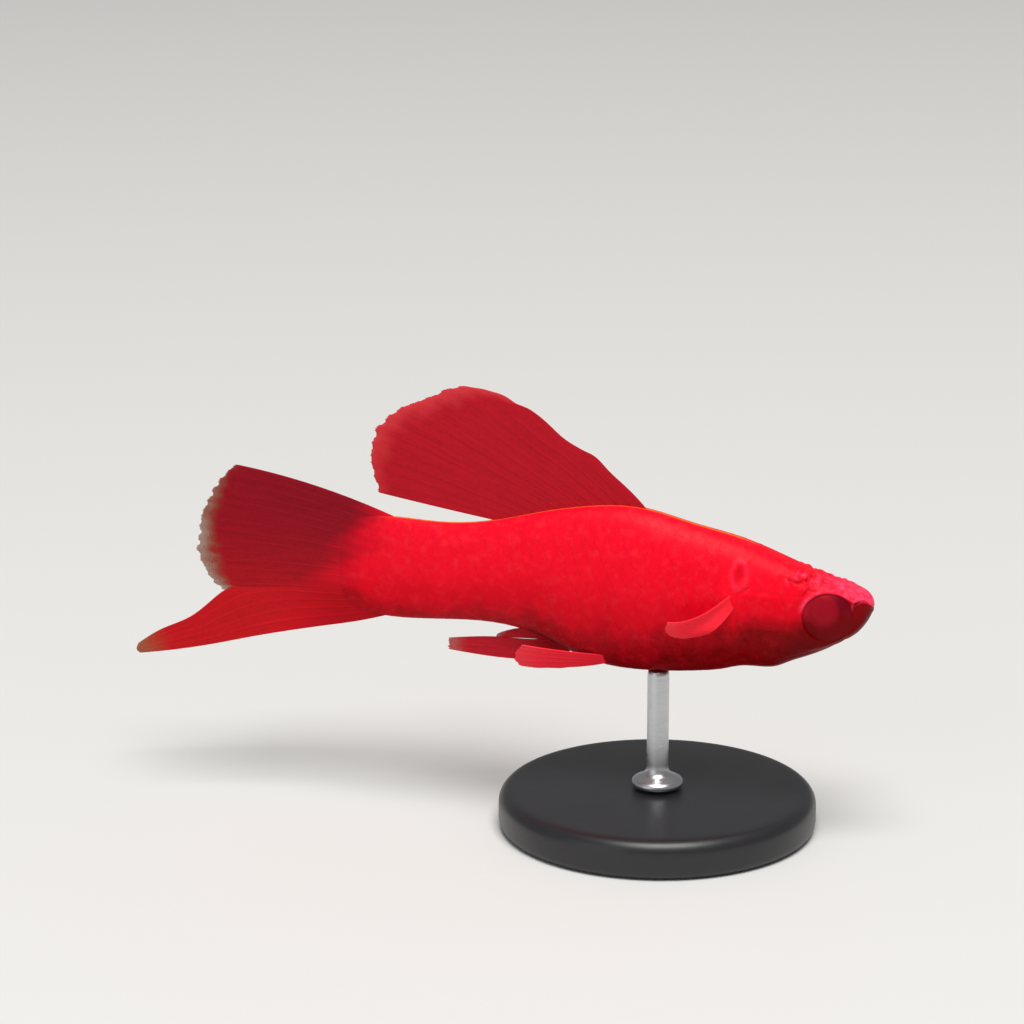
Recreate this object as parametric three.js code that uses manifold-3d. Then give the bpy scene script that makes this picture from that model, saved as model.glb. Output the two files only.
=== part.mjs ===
// A male red swordtail with a tall dorsal fin, life size, held over a plain round stand.
//
// Millimetres. +X points to the snout, +Y to the fish's left side and +Z up.
// The origin is the middle of the stand's underside.
//
// The fish is first made straight, with the tip of its snout at the origin, and its points are
// written as [behind the snout, out from the middle, height]. swim() then bends each finished
// solid along the swimming wave, and a group tilts and lifts the whole fish over the stand.

import * as THREE from "three";
import { mergeVertices } from "three/addons/utils/BufferGeometryUtils.js";
import Module from "manifold-3d";

const wasm = await Module();
wasm.setup();

// Driving dimensions of the fish
const TOTAL_LENGTH = 76; // snout to the tip of the sword
const FLESH_LENGTH = 56.3; // snout to the last scales on the root of the tail fin
const BODY_DEPTH = 17; // back to belly, below the front of the dorsal fin
const BODY_WIDTH = 7.3; // across the shoulders
const EYE_DIAMETER = 5;

// The swimming pose
const NOSE_DOWN = THREE.MathUtils.degToRad(0.2);
const SWAY_ANGLE = THREE.MathUtils.degToRad(13); // widest turn of the spine to one side
const SWAY_WAVES = 0.62; // waves along the fish

// Clearances and thicknesses
const GAP = 0.3; // between neighbouring pieces
const MEMBRANE = 0.5; // thickness of a fin between its rays
const RAY_RISE = 0.14; // height of a ray's ridge on each face
const EDGE_SHARE = 0.5; // thickness left at the margin of a fin
const EDGE_FROM = 0.72; // share of a ray's length where the thinning starts
const WEB_REACH = 0.985; // share of a ray's length that the membrane beside it reaches

// The display stand
const ROD_AT = 21.4; // behind the snout
const ROD_RADIUS = 1.1;
const COLLAR_RADIUS = 2.6;
const COLLAR_HEIGHT = 1.2;
const BASE_RADIUS = 16;
const BASE_THICKNESS = 4;
const BASE_BEVEL = 0.6;
const BELLY_CLEARANCE = 12.5; // base to belly

// Cross sections of the flesh. `at` is a share of FLESH_LENGTH. `back`, `belly` and `waist` are
// heights from the snout's level in shares of BODY_DEPTH, the waist being the widest line. `side`
// is the half width in shares of half BODY_WIDTH. `crown` and `keel` are the roundness of the
// upper and lower half, where 2 is an ellipse and more is squarer.
const SECTIONS = [
  { at: 0, back: -0.02, belly: -0.02, side: 0, waist: -0.02, crown: 2.3, keel: 2.2 },
  { at: 0.01, back: 0.042, belly: -0.12, side: 0.41, waist: -0.028, crown: 2.3, keel: 2.3 },
  { at: 0.028, back: 0.074, belly: -0.196, side: 0.57, waist: -0.042, crown: 2.5, keel: 2.3 },
  { at: 0.054, back: 0.1, belly: -0.25, side: 0.67, waist: -0.055, crown: 2.7, keel: 2.4 },
  { at: 0.092, back: 0.144, belly: -0.318, side: 0.775, waist: -0.07, crown: 2.8, keel: 2.5 },
  { at: 0.137, back: 0.202, belly: -0.378, side: 0.86, waist: -0.07, crown: 2.6, keel: 2.3 },
  { at: 0.192, back: 0.281, belly: -0.432, side: 0.935, waist: -0.06, crown: 2.3, keel: 2 },
  { at: 0.249, back: 0.346, belly: -0.464, side: 0.985, waist: -0.04, crown: 2.1, keel: 2 },
  { at: 0.32, back: 0.403, belly: -0.492, side: 1, waist: -0.03, crown: 2, keel: 2 },
  { at: 0.417, back: 0.478, belly: -0.508, side: 0.98, waist: -0.01, crown: 2, keel: 2 },
  { at: 0.507, back: 0.466, belly: -0.468, side: 0.88, waist: 0.01, crown: 2, keel: 2 },
  { at: 0.595, back: 0.408, belly: -0.352, side: 0.74, waist: 0.03, crown: 2, keel: 2 },
  { at: 0.675, back: 0.338, belly: -0.298, side: 0.61, waist: 0.03, crown: 2, keel: 2 },
  { at: 0.764, back: 0.296, belly: -0.302, side: 0.5, waist: 0.01, crown: 2, keel: 2 },
  { at: 0.853, back: 0.303, belly: -0.318, side: 0.35, waist: 0, crown: 2, keel: 2 },
  { at: 0.925, back: 0.295, belly: -0.3, side: 0.2, waist: 0, crown: 2, keel: 2 },
  { at: 0.975, back: 0.2, belly: -0.235, side: 0.11, waist: -0.02, crown: 2, keel: 2 },
  { at: 1, back: -0.03, belly: -0.03, side: 0, waist: -0.03, crown: 2, keel: 2 },
];
const RING_POINTS = 36;
const SNOUT_RINGS = 3; // crowded rings that round the snout
const SNOUT_END = 0.8;
const HEAD_RINGS = 15;
const HEAD_RINGS_END = 15;
const TRUNK_RINGS = 24;

// Where the pieces of flesh part, as side outlines of [behind the snout, height]
const GILL_OPENING = [
  [12, 9.5], [12.6, 5.6], [13.2, 3.6], [13.45, 2.4], [13.3, 1],
  [12.95, -1], [12.2, -3.4], [11, -5.8], [9.2, -9.6],
];
const TAIL_FROM = 38.6; // where the tail's stalk leaves the trunk
const OUTSIDE = 30; // further out than any part of the flesh

// The head
const GILL_COVER = [
  [8.6, 1.3], [9.8, 2.5], [11.6, 3.1], [16, 3.2], [16, -7], [9.6, -6.1], [8.3, -3.6], [8, -1],
];
const CHEEK_PLATE = [
  [5.5, 2], [6.9, 2.4], [7.9, 1], [7.5, -1.5], [7.9, -3.6], [8.5, -5.6], [5.6, -4.9], [4.4, -4.4],
];
const JAW = [[-3, -0.35], [1.7, -0.35], [2.2, -1], [2.5, -2.4], [3, -4], [3.6, -8], [-3, -8]];
const GAPE = [[-0.6, -1.1], [0.2, -0.45], [0.6, 0.15], [1.3, 0.4], [1.95, -0.1]]; // the mouth's line
const GAPE_HALF = 0.13;
const LIP_HEIGHT = 0.68;
const GILL_COVER_RISE = 0.3;
const CHEEK_RISE = 0.1;
const JAW_RISE = 0.12;
const LIP_RISE = 0.28;
const NOSTRILS = [{ at: 2.5, out: 0.95, radius: 0.22 }, { at: 3.6, out: 1.2, radius: 0.26 }];
const NOSTRIL_DEPTH = 0.5;

// The eye
const EYE_AT = 4.35;
const EYE_HEIGHT = -1.3;
const EYE_BULGE = 0.35; // how far it stands out of the cheek
const EYE_HALF_THICKNESS = 1.4;
const EYE_FORWARD = THREE.MathUtils.degToRad(8);
const PUPIL_RADIUS = 1.3;
const PUPIL_STEP = 0.08;
const EYE_RIM_WIDTH = 0.6;
const EYE_RIM_RISE = 0.16;
const EYE_SIDES = 28;

// The fins. Each is a fan of rays from a root line, sunk in the flesh, to its margin. `bow` lifts
// the middle of the first and the last ray out of a straight line, the fuller the higher `full`
// is, and `swell` moves it outwards.
const DORSAL_FIN = {
  rays: 13,
  rows: 9,
  root: [[22, 0, 7], [36.6, 0, 5.4]],
  margin: [
    [38.3, 0, 18.5], [42.3, 0, 18.9], [46.1, 0, 17.4], [49.4, 0, 15.7],
    [51.4, 0, 13.1], [51.6, 0, 10.3], [50.7, 0, 7.3],
  ],
  bow: [1.2, 0],
  full: 4,
  lean: 1.1,
};
const CAUDAL_FIN = {
  rays: 14,
  rows: 8,
  root: [[48, 0, 4.8], [52.2, 0, -2.9]],
  margin: [
    [65.3, 0, 9.7], [67.3, 0, 7.7], [68.6, 0, 5.4], [69.3, 0, 3],
    [69.3, 0, 0.4], [68.4, 0, -1.7], [66.6, 0, -2.9],
  ],
  bow: [0.45, 0],
  lean: -0.5,
};
const SWORD_RAYS = 5;
const SWORD_ROWS = 16;
const SWORD_UPPER = [
  [52, -3.6], [57, -3.5], [62, -3.5], [65.8, -3.8],
  [68, -4.9], [70.4, -6.8], [73.3, -8.15], [TOTAL_LENGTH, -9.9],
];
const SWORD_LOWER = [
  [48.8, -5.1], [52.5, -6.1], [56.4, -6.9], [60.2, -7.75],
  [64.2, -8.65], [68.2, -9.55], [72.4, -10.3], [75.8, -10.7],
];
const GONOPODIUM_RAYS = 4;
const GONOPODIUM_ROWS = 9;
const GONOPODIUM_UPPER = [[31, -5.8], [34.2, -6.5], [38.4, -6.6], [43.1, -7.15]];
const GONOPODIUM_LOWER = [[29.6, -6.9], [33.2, -8.4], [38.2, -8.7], [43.2, -8.35]];
const ANAL_FIN = {
  rays: 5,
  rows: 4,
  root: [[31, 0, -6.3], [33.8, 0, -4.7]],
  margin: [[38.2, 0, -6.6], [37.8, 0, -6.1], [36.4, 0, -5.6]],
  bow: [0, -0.1],
  lean: 0,
};
const PECTORAL_FIN = {
  rays: 11,
  rows: 6,
  root: [[13.4, 2.9, 1.1], [13.2, 3, -0.3]],
  margin: [
    [19.1, 7.8, -1.05], [19.4, 7.4, -2], [18.9, 6.6, -2.85],
    [17.9, 6, -3.15], [16.9, 5.4, -3.1], [16.1, 5, -2.9],
  ],
  bow: [-0.6, -0.4],
  swell: 1.4,
};
const RIGHT_PELVIC_FIN = {
  rays: 6,
  rows: 7,
  root: [[24.2, 1.5, -6.9], [26, 0.8, -7.8]],
  margin: [[34.6, 3, -6.2], [35.4, 2.7, -7.3], [35.1, 2.3, -8.6], [32.2, 1.9, -8.65]],
  bow: [-0.2, -0.25],
};
const LEFT_PELVIC_FIN = {
  ...RIGHT_PELVIC_FIN,
  margin: [[36.4, 1.9, -9], [35.9, 1.6, -9.8], [33.6, 1.3, -9.8], [30.5, 1, -9.4]],
  bow: [-0.4, -0.1],
};

// Curves

const mix = (a, b, t) => a + (b - a) * t;
const clamp01 = (t) => Math.min(1, Math.max(0, t));

// A natural cubic spline through (xs, ys).
function spline(xs, ys) {
  const n = xs.length;
  const bend = new Array(n).fill(0);
  const carried = new Array(n).fill(0);
  for (let i = 1; i < n - 1; i++) {
    const share = (xs[i] - xs[i - 1]) / (xs[i + 1] - xs[i - 1]);
    const pivot = share * bend[i - 1] + 2;
    const rise = (ys[i + 1] - ys[i]) / (xs[i + 1] - xs[i]) - (ys[i] - ys[i - 1]) / (xs[i] - xs[i - 1]);
    bend[i] = (share - 1) / pivot;
    carried[i] = ((6 * rise) / (xs[i + 1] - xs[i - 1]) - share * carried[i - 1]) / pivot;
  }
  for (let i = n - 2; i >= 0; i--) bend[i] = bend[i] * bend[i + 1] + carried[i];
  return (x) => {
    let k = 1;
    while (k < n - 1 && x > xs[k]) k++;
    const step = xs[k] - xs[k - 1];
    const a = (xs[k] - x) / step;
    const b = 1 - a;
    const curve = ((a ** 3 - a) * bend[k - 1] + (b ** 3 - b) * bend[k]) * (step * step) / 6;
    return a * ys[k - 1] + b * ys[k] + curve;
  };
}

// A smooth curve through points spread evenly over 0 to 1, in as many dimensions as they have.
function through(points) {
  const places = points.map((_, i) => i / (points.length - 1));
  const curves = points[0].map((_, axis) => spline(places, points.map((p) => p[axis])));
  return (t) => curves.map((curve) => curve(t));
}

const smoothed = (points, count) => {
  const curve = through(points);
  return Array.from({ length: count + 1 }, (_, i) => curve(i / count));
};

// Solids

const largest = (solid) => solid.decompose().sort((a, b) => b.volume() - a.volume())[0];
const joined = (solids) => solids.reduce((a, b) => a.add(b));

function enclosedVolume(positions, index) {
  const [a, b, c] = [new THREE.Vector3(), new THREE.Vector3(), new THREE.Vector3()];
  let total = 0;
  for (let i = 0; i < index.count; i += 3) {
    a.fromBufferAttribute(positions, index.getX(i));
    b.fromBufferAttribute(positions, index.getX(i + 1));
    c.fromBufferAttribute(positions, index.getX(i + 2));
    total += a.dot(b.cross(c));
  }
  return total;
}

// A closed geometry as a solid with its faces pointing out.
function solidOf(geometry) {
  const bare = geometry.clone();
  for (const name of Object.keys(bare.attributes)) {
    if (name !== "position") bare.deleteAttribute(name);
  }
  const merged = mergeVertices(bare, 1e-5);
  const triangles = Uint32Array.from(merged.index.array);
  if (enclosedVolume(merged.attributes.position, merged.index) < 0) triangles.reverse();
  return new wasm.Manifold(
    new wasm.Mesh({ numProp: 3, vertProperties: merged.attributes.position.array, triVerts: triangles }),
  );
}

function geometryOf(points, triangles) {
  return new THREE.BufferGeometry()
    .setAttribute("position", new THREE.BufferAttribute(new Float32Array(points.flat()), 3))
    .setIndex(triangles);
}

function geometryFrom(solid) {
  const { vertProperties, triVerts } = solid.getMesh();
  return new THREE.BufferGeometry()
    .setAttribute("position", new THREE.BufferAttribute(Float32Array.from(vertProperties), 3))
    .setIndex(Array.from(triVerts));
}

// A side outline of [behind the snout, height] points, drawn right through the fish.
function prism(outline) {
  const shape = new THREE.Shape(outline.map(([s, z]) => new THREE.Vector2(-s, z)));
  const geometry = new THREE.ExtrudeGeometry(shape, { depth: 2 * OUTSIDE, bevelEnabled: false });
  return solidOf(geometry.translate(0, 0, -OUTSIDE).rotateX(Math.PI / 2));
}

// A closed skin over rings of points, each ring with as many points, with a pole at each end.
function loft(rings, firstPole, lastPole) {
  const count = rings[0].length;
  const points = [firstPole, ...rings.flat(), lastPole];
  const last = points.length - 1;
  const triangles = [];
  for (let i = 0; i < count; i++) {
    const j = (i + 1) % count;
    triangles.push(0, 1 + j, 1 + i);
    for (let r = 0; r < rings.length - 1; r++) {
      const near = 1 + r * count;
      const far = near + count;
      triangles.push(near + i, near + j, far + i, near + j, far + j, far + i);
    }
    triangles.push(last, last - count + i, last - count + j);
  }
  return geometryOf(points, triangles);
}

// The flesh, one skin from the snout to the root of the tail fin

// Both ends are round, so a profile is read along an angle and not along the length.
const turn = (share) => Math.acos(1 - 2 * clamp01(share)) / Math.PI;

const profileOf = (name, scale) => {
  const curve = spline(SECTIONS.map((c) => turn(c.at)), SECTIONS.map((c) => c[name] * scale));
  return (s) => curve(turn(s / FLESH_LENGTH));
};
const back = profileOf("back", BODY_DEPTH);
const belly = profileOf("belly", BODY_DEPTH);
const waist = profileOf("waist", BODY_DEPTH);
const side = profileOf("side", BODY_WIDTH / 2);
const crown = profileOf("crown", 1);
const keel = profileOf("keel", 1);

// A point of the skin at an angle round the body from its left side, moved outwards by `grow`.
function skinPoint(s, angle, grow) {
  const cos = Math.cos(angle);
  const sin = Math.sin(angle);
  const middle = waist(s);
  const power = 2 / (sin > 0 ? crown(s) : keel(s));
  const height = Math.max(0, sin > 0 ? back(s) - middle : middle - belly(s)) + grow;
  const width = Math.max(0, side(s)) + grow;
  const powered = (value) => Math.sign(value) * Math.abs(value) ** power;
  return [width * powered(cos), middle + height * powered(sin)];
}

// Half the width of the flesh at a height.
function widthAt(s, z) {
  const middle = waist(s);
  const upper = z > middle;
  const share = (z - middle) / (upper ? back(s) - middle : belly(s) - middle);
  const power = upper ? crown(s) : keel(s);
  return side(s) * (1 - clamp01(share) ** power) ** (1 / power);
}

// The height of the flesh's upper surface at a distance out from the middle.
function heightAt(s, out) {
  const power = crown(s);
  return mix(waist(s), back(s), (1 - clamp01(out / side(s)) ** power) ** (1 / power));
}

function ringPlaces() {
  const places = [];
  for (let i = 1; i <= SNOUT_RINGS; i++) places.push(SNOUT_END * (i / SNOUT_RINGS) ** 2);
  for (let i = 1; i <= HEAD_RINGS; i++) places.push(mix(SNOUT_END, HEAD_RINGS_END, i / HEAD_RINGS));
  for (let i = 1; i < TRUNK_RINGS; i++) {
    const eased = 0.7 * (i / TRUNK_RINGS) + 0.3 * Math.sin((i / TRUNK_RINGS) * (Math.PI / 2));
    places.push(mix(HEAD_RINGS_END, FLESH_LENGTH, eased));
  }
  return places;
}

function flesh(grow = 0) {
  const stretch = (FLESH_LENGTH + 2 * grow) / FLESH_LENGTH;
  const rings = ringPlaces().map((s) =>
    Array.from({ length: RING_POINTS }, (_, i) => [
      grow - s * stretch,
      ...skinPoint(s, (2 * Math.PI * i) / RING_POINTS, grow),
    ]),
  );
  return solidOf(loft(rings, [grow, 0, waist(0)], [-FLESH_LENGTH - grow, 0, waist(FLESH_LENGTH)]));
}

// A plate of the flesh's own shape, raised over it within a side outline.
const raised = (outline, rise) => flesh(rise).intersect(prism(outline));

// An outline that keeps between two heights over a line.
const along = (line, low, high) => [
  ...line.map(([s, z]) => [s, z + high]),
  ...line.map(([s, z]) => [s, z + low]).reverse(),
];

const headOutline = (shift) => [
  [-OUTSIDE, -OUTSIDE],
  [-OUTSIDE, OUTSIDE],
  [GILL_OPENING[0][0] + shift, OUTSIDE],
  ...smoothed(GILL_OPENING, 16).map(([s, z]) => [s + shift, z]),
  [GILL_OPENING[GILL_OPENING.length - 1][0] + shift, -OUTSIDE],
];
const behind = (s) => prism([[s, -OUTSIDE], [s, OUTSIDE], [TOTAL_LENGTH, OUTSIDE], [TOTAL_LENGTH, -OUTSIDE]]);

// The eyes

// Puts something made round the Y axis at one eye. `hand` is 1 for the left and -1 for the right.
function atEye(geometry, hand) {
  const depth = widthAt(EYE_AT, EYE_HEIGHT) - EYE_HALF_THICKNESS + EYE_BULGE;
  geometry.rotateZ(-EYE_FORWARD);
  if (hand < 0) geometry.rotateX(Math.PI);
  return geometry.translate(-EYE_AT, hand * depth, EYE_HEIGHT);
}

// A lens-shaped eyeball.
function eyeball(grow) {
  const steps = 8;
  const outline = Array.from({ length: steps + 1 }, (_, i) => {
    const angle = (i / steps - 0.5) * Math.PI;
    const radius = i === 0 || i === steps ? 0 : (EYE_DIAMETER / 2 + grow) * Math.cos(angle);
    return new THREE.Vector2(radius, (EYE_HALF_THICKNESS + grow) * Math.sin(angle));
  });
  return new THREE.LatheGeometry(outline, EYE_SIDES);
}

// The eyeball with the pupil as a low raised disc.
function eye(hand) {
  const ball = solidOf(atEye(eyeball(0), hand));
  const column = new THREE.CylinderGeometry(PUPIL_RADIUS, PUPIL_RADIUS, 2 * EYE_HALF_THICKNESS, EYE_SIDES);
  const front = solidOf(atEye(column.translate(0, EYE_HALF_THICKNESS, 0), hand));
  return largest(ball.add(front.intersect(solidOf(atEye(eyeball(PUPIL_STEP), hand)))));
}

function eyeRim(hand) {
  const radius = EYE_DIAMETER / 2 + EYE_RIM_WIDTH;
  const tube = new THREE.CylinderGeometry(radius, radius, 2 * EYE_HALF_THICKNESS + 2, EYE_SIDES);
  return flesh(EYE_RIM_RISE).intersect(solidOf(atEye(tube, hand)));
}

// The head

function nostril({ at, out, radius }, hand) {
  const pit = new THREE.CylinderGeometry(radius, radius * 0.6, 2 * NOSTRIL_DEPTH, 10);
  return solidOf(pit.rotateX(Math.PI / 2).translate(-at, hand * out, heightAt(at, out)));
}

function head() {
  const gape = smoothed(GAPE, 10);
  const plates = [
    raised(smoothed([...GILL_COVER, GILL_COVER[0]], 28).slice(1), GILL_COVER_RISE),
    raised(smoothed([...CHEEK_PLATE, CHEEK_PLATE[0]], 24).slice(1), CHEEK_RISE),
    raised(JAW, JAW_RISE),
    raised(along(gape, GAPE_HALF, LIP_HEIGHT), LIP_RISE),
    raised(along(gape, -LIP_HEIGHT, -GAPE_HALF), LIP_RISE),
    eyeRim(1),
    eyeRim(-1),
  ];
  const hollows = [prism(along(gape, -GAPE_HALF, GAPE_HALF))];
  for (const hand of [1, -1]) {
    hollows.push(solidOf(atEye(eyeball(GAP), hand)));
    for (const pit of NOSTRILS) hollows.push(nostril(pit, hand));
  }
  return largest(flesh().add(joined(plates)).intersect(prism(headOutline(0))).subtract(joined(hollows)));
}

// The fins

// A thin plate over a grid of places, closed round its edge. Both faces are split alike.
// `place(u, v, column)` is the middle of the plate and `half(column, v)` half its thickness.
function plate(columns, rows, place, half) {
  const grid = (c, r) => place(c / columns, r / rows, c);
  const points = [];
  for (const face of [1, -1]) {
    for (let c = 0; c <= columns; c++) {
      for (let r = 0; r <= rows; r++) {
        const across = grid(Math.min(c + 1, columns), r).sub(grid(Math.max(c - 1, 0), r));
        const out = grid(c, Math.min(r + 1, rows)).sub(grid(c, Math.max(r - 1, 0)));
        const lift = across.cross(out).normalize().multiplyScalar(face * half(c, r / rows));
        points.push(grid(c, r).add(lift).toArray());
      }
    }
  }
  const row = rows + 1;
  const other = row * (columns + 1);
  const triangles = [];
  const quad = (a, b, c, d) => triangles.push(a, b, c, a, c, d);
  for (let c = 0; c < columns; c++) {
    for (let r = 0; r < rows; r++) {
      const a = c * row + r;
      triangles.push(a, a + row, a + row + 1, a, a + row + 1, a + 1);
      triangles.push(a + other, a + row + 1 + other, a + row + other);
      triangles.push(a + other, a + 1 + other, a + row + 1 + other);
    }
    quad(c * row, c * row + other, (c + 1) * row + other, (c + 1) * row);
    quad((c + 1) * row + rows, (c + 1) * row + rows + other, c * row + rows + other, c * row + rows);
  }
  for (let r = 0; r < rows; r++) {
    quad(r + 1, r + 1 + other, r + other, r);
    const a = columns * row + r;
    quad(a, a + other, a + 1 + other, a + 1);
  }
  return geometryOf(points, triangles);
}

// Half the thickness along a ray (an even column) or along the membrane between two rays.
function finHalf(column, along) {
  const edge = mix(1, EDGE_SHARE, clamp01((along - EDGE_FROM) / (1 - EDGE_FROM)));
  const ridge = column % 2 === 0 ? RAY_RISE * (1 - 0.5 * along) : 0;
  return (MEMBRANE / 2 + ridge) * edge;
}

const reach = (column) => (column % 2 === 0 ? 1 : WEB_REACH);

// A fan of rays. `lean` curls its margin to one side.
function fan({ rays, rows, root, margin, bow, full = 2, lean = 0, swell = 0 }, hand = 1) {
  const from = through(root);
  const to = through(margin);
  return plate(
    2 * (rays - 1),
    rows,
    (u, v, column) => {
      const w = v * reach(column);
      const [start, end] = [from(u), to(u)];
      const [s, y, z] = start.map((value, axis) => mix(value, end[axis], w));
      const arch = 1 - Math.abs(2 * w - 1) ** full;
      const curl = lean * w * w * Math.sin(Math.PI * (0.25 + 0.5 * u));
      return new THREE.Vector3(-s, hand * (y + swell * arch) + curl, z + mix(bow[0], bow[1], u) * arch);
    },
    finHalf,
  );
}

// A band of rays that run side by side between two edges.
function band(rays, rows, upper, lower) {
  const [top, bottom] = [through(upper), through(lower)];
  return plate(
    2 * (rays - 1),
    rows,
    (u, v) => {
      const [a, b] = [bottom(v), top(v)];
      return new THREE.Vector3(-mix(a[0], b[0], u), 0, mix(a[1], b[1], u));
    },
    finHalf,
  );
}

const offFlesh = (solid) => largest(solid.subtract(flesh(GAP)));
const fanSolid = (form, hand) => offFlesh(solidOf(fan(form, hand)));

const analFin = () =>
  offFlesh(
    solidOf(band(GONOPODIUM_RAYS, GONOPODIUM_ROWS, GONOPODIUM_UPPER, GONOPODIUM_LOWER))
      .add(solidOf(fan(ANAL_FIN))),
  );

// The pose

function heading(s) {
  const share = s / TOTAL_LENGTH;
  return SWAY_ANGLE * share * Math.sin(2 * Math.PI * SWAY_WAVES * share);
}

// The spine's place seen from above, measured from the point over the rod.
function spine(s) {
  const steps = 40;
  const step = (s - ROD_AT) / steps;
  const place = [0, 0];
  for (let i = 0; i < steps; i++) {
    const h = heading(ROD_AT + (i + 0.5) * step);
    place[0] -= Math.cos(h) * step;
    place[1] += Math.sin(h) * step;
  }
  return place;
}

// Bends a straight geometry along the swimming wave.
function swim(geometry) {
  const positions = geometry.attributes.position;
  for (let i = 0; i < positions.count; i++) {
    const s = -positions.getX(i);
    const y = positions.getY(i);
    const [x0, y0] = spine(s);
    positions.setX(i, x0 + y * Math.sin(heading(s)));
    positions.setY(i, y0 + y * Math.cos(heading(s)));
  }
  return geometry;
}

const fish = new THREE.Group();
fish.rotation.y = NOSE_DOWN;
fish.position.z = BASE_THICKNESS + BELLY_CLEARANCE - belly(ROD_AT);
fish.updateMatrixWorld(true);

// The stand

const roundZ = (outline, segments) =>
  new THREE.LatheGeometry(outline.map(([r, h]) => new THREE.Vector2(r, h)), segments).rotateX(Math.PI / 2);

const standBase = () =>
  roundZ(
    [
      [0, 0],
      [BASE_RADIUS - BASE_BEVEL, 0],
      [BASE_RADIUS, BASE_BEVEL],
      [BASE_RADIUS, BASE_THICKNESS - 2 * BASE_BEVEL],
      [BASE_RADIUS - 0.6 * BASE_BEVEL, BASE_THICKNESS - 0.6 * BASE_BEVEL],
      [BASE_RADIUS - 2 * BASE_BEVEL, BASE_THICKNESS],
      [0, BASE_THICKNESS],
    ],
    60,
  );

// The rod rises from a collar into the belly, and is cut to the belly's shape.
function standRod() {
  const foot = BASE_THICKNESS + GAP;
  const top = foot + BELLY_CLEARANCE + 2;
  const rod = roundZ(
    [
      [0, foot],
      [COLLAR_RADIUS, foot],
      [COLLAR_RADIUS, foot + 0.6 * COLLAR_HEIGHT],
      [ROD_RADIUS * 1.3, foot + COLLAR_HEIGHT],
      [ROD_RADIUS, foot + 1.5 * COLLAR_HEIGHT],
      [ROD_RADIUS, top],
      [0, top],
    ],
    24,
  );
  const body = solidOf(swim(geometryFrom(flesh(GAP))).applyMatrix4(fish.matrixWorld));
  return geometryFrom(largest(solidOf(rod).subtract(body)));
}

// Materials
function finish(color, roughness, metalness = 0) {
  return new THREE.MeshStandardMaterial({ color, roughness, metalness });
}
const FLESH_RED = "#e0101f";
const HEAD_RED = "#d8131f";
const FIN_RED = "#b4121c";
const TAIL_RED = "#8e1018";
const SWORD_RED = "#c8161a";
const PALE_FIN_RED = "#e8432f";
const EYE_RED = "#5c0a10";
const BASE_BLACK = "#1c1d20";
const STEEL = "#b9bcc0";

function add(group, name, geometry, material) {
  const mesh = new THREE.Mesh(geometry, material);
  mesh.name = name;
  group.add(mesh);
}

const addFlesh = (name, solid, material) => add(fish, name, swim(geometryFrom(solid)), material);

addFlesh("head", head(), finish(HEAD_RED, 0.35));
addFlesh(
  "trunk",
  largest(flesh().subtract(prism(headOutline(GAP * 1.2))).subtract(behind(TAIL_FROM))),
  finish(FLESH_RED, 0.4),
);
addFlesh("tail_stalk", largest(flesh().intersect(behind(TAIL_FROM + GAP))), finish(FLESH_RED, 0.4));
addFlesh("eye_left", eye(1), finish(EYE_RED, 0.1));
addFlesh("eye_right", eye(-1), finish(EYE_RED, 0.1));
addFlesh("dorsal_fin", fanSolid(DORSAL_FIN), finish(FIN_RED, 0.5));
addFlesh("caudal_fin", fanSolid(CAUDAL_FIN), finish(TAIL_RED, 0.5));
const sword = offFlesh(solidOf(band(SWORD_RAYS, SWORD_ROWS, SWORD_UPPER, SWORD_LOWER)));
addFlesh("sword", sword, finish(SWORD_RED, 0.5));
addFlesh("anal_fin", analFin(), finish(FIN_RED, 0.5));
addFlesh("pectoral_fin_left", fanSolid(PECTORAL_FIN, 1), finish(PALE_FIN_RED, 0.5));
addFlesh("pectoral_fin_right", fanSolid(PECTORAL_FIN, -1), finish(PALE_FIN_RED, 0.5));
addFlesh("pelvic_fin_left", fanSolid(LEFT_PELVIC_FIN, 1), finish(PALE_FIN_RED, 0.5));
addFlesh("pelvic_fin_right", fanSolid(RIGHT_PELVIC_FIN, -1), finish(PALE_FIN_RED, 0.5));

const model = new THREE.Group();
add(model, "stand_base", standBase(), finish(BASE_BLACK, 0.35));
add(model, "stand_rod", standRod(), finish(STEEL, 0.3, 1));
model.add(fish);

export default model;
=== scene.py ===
# A male red swordtail with a tall dorsal fin, on its display stand.
#
# Shapes are written in millimetres on a straight fish, as [behind the snout, out from the middle,
# height above the snout], and world() bends, tilts and lifts them into the frame, in metres.

import math

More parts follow.
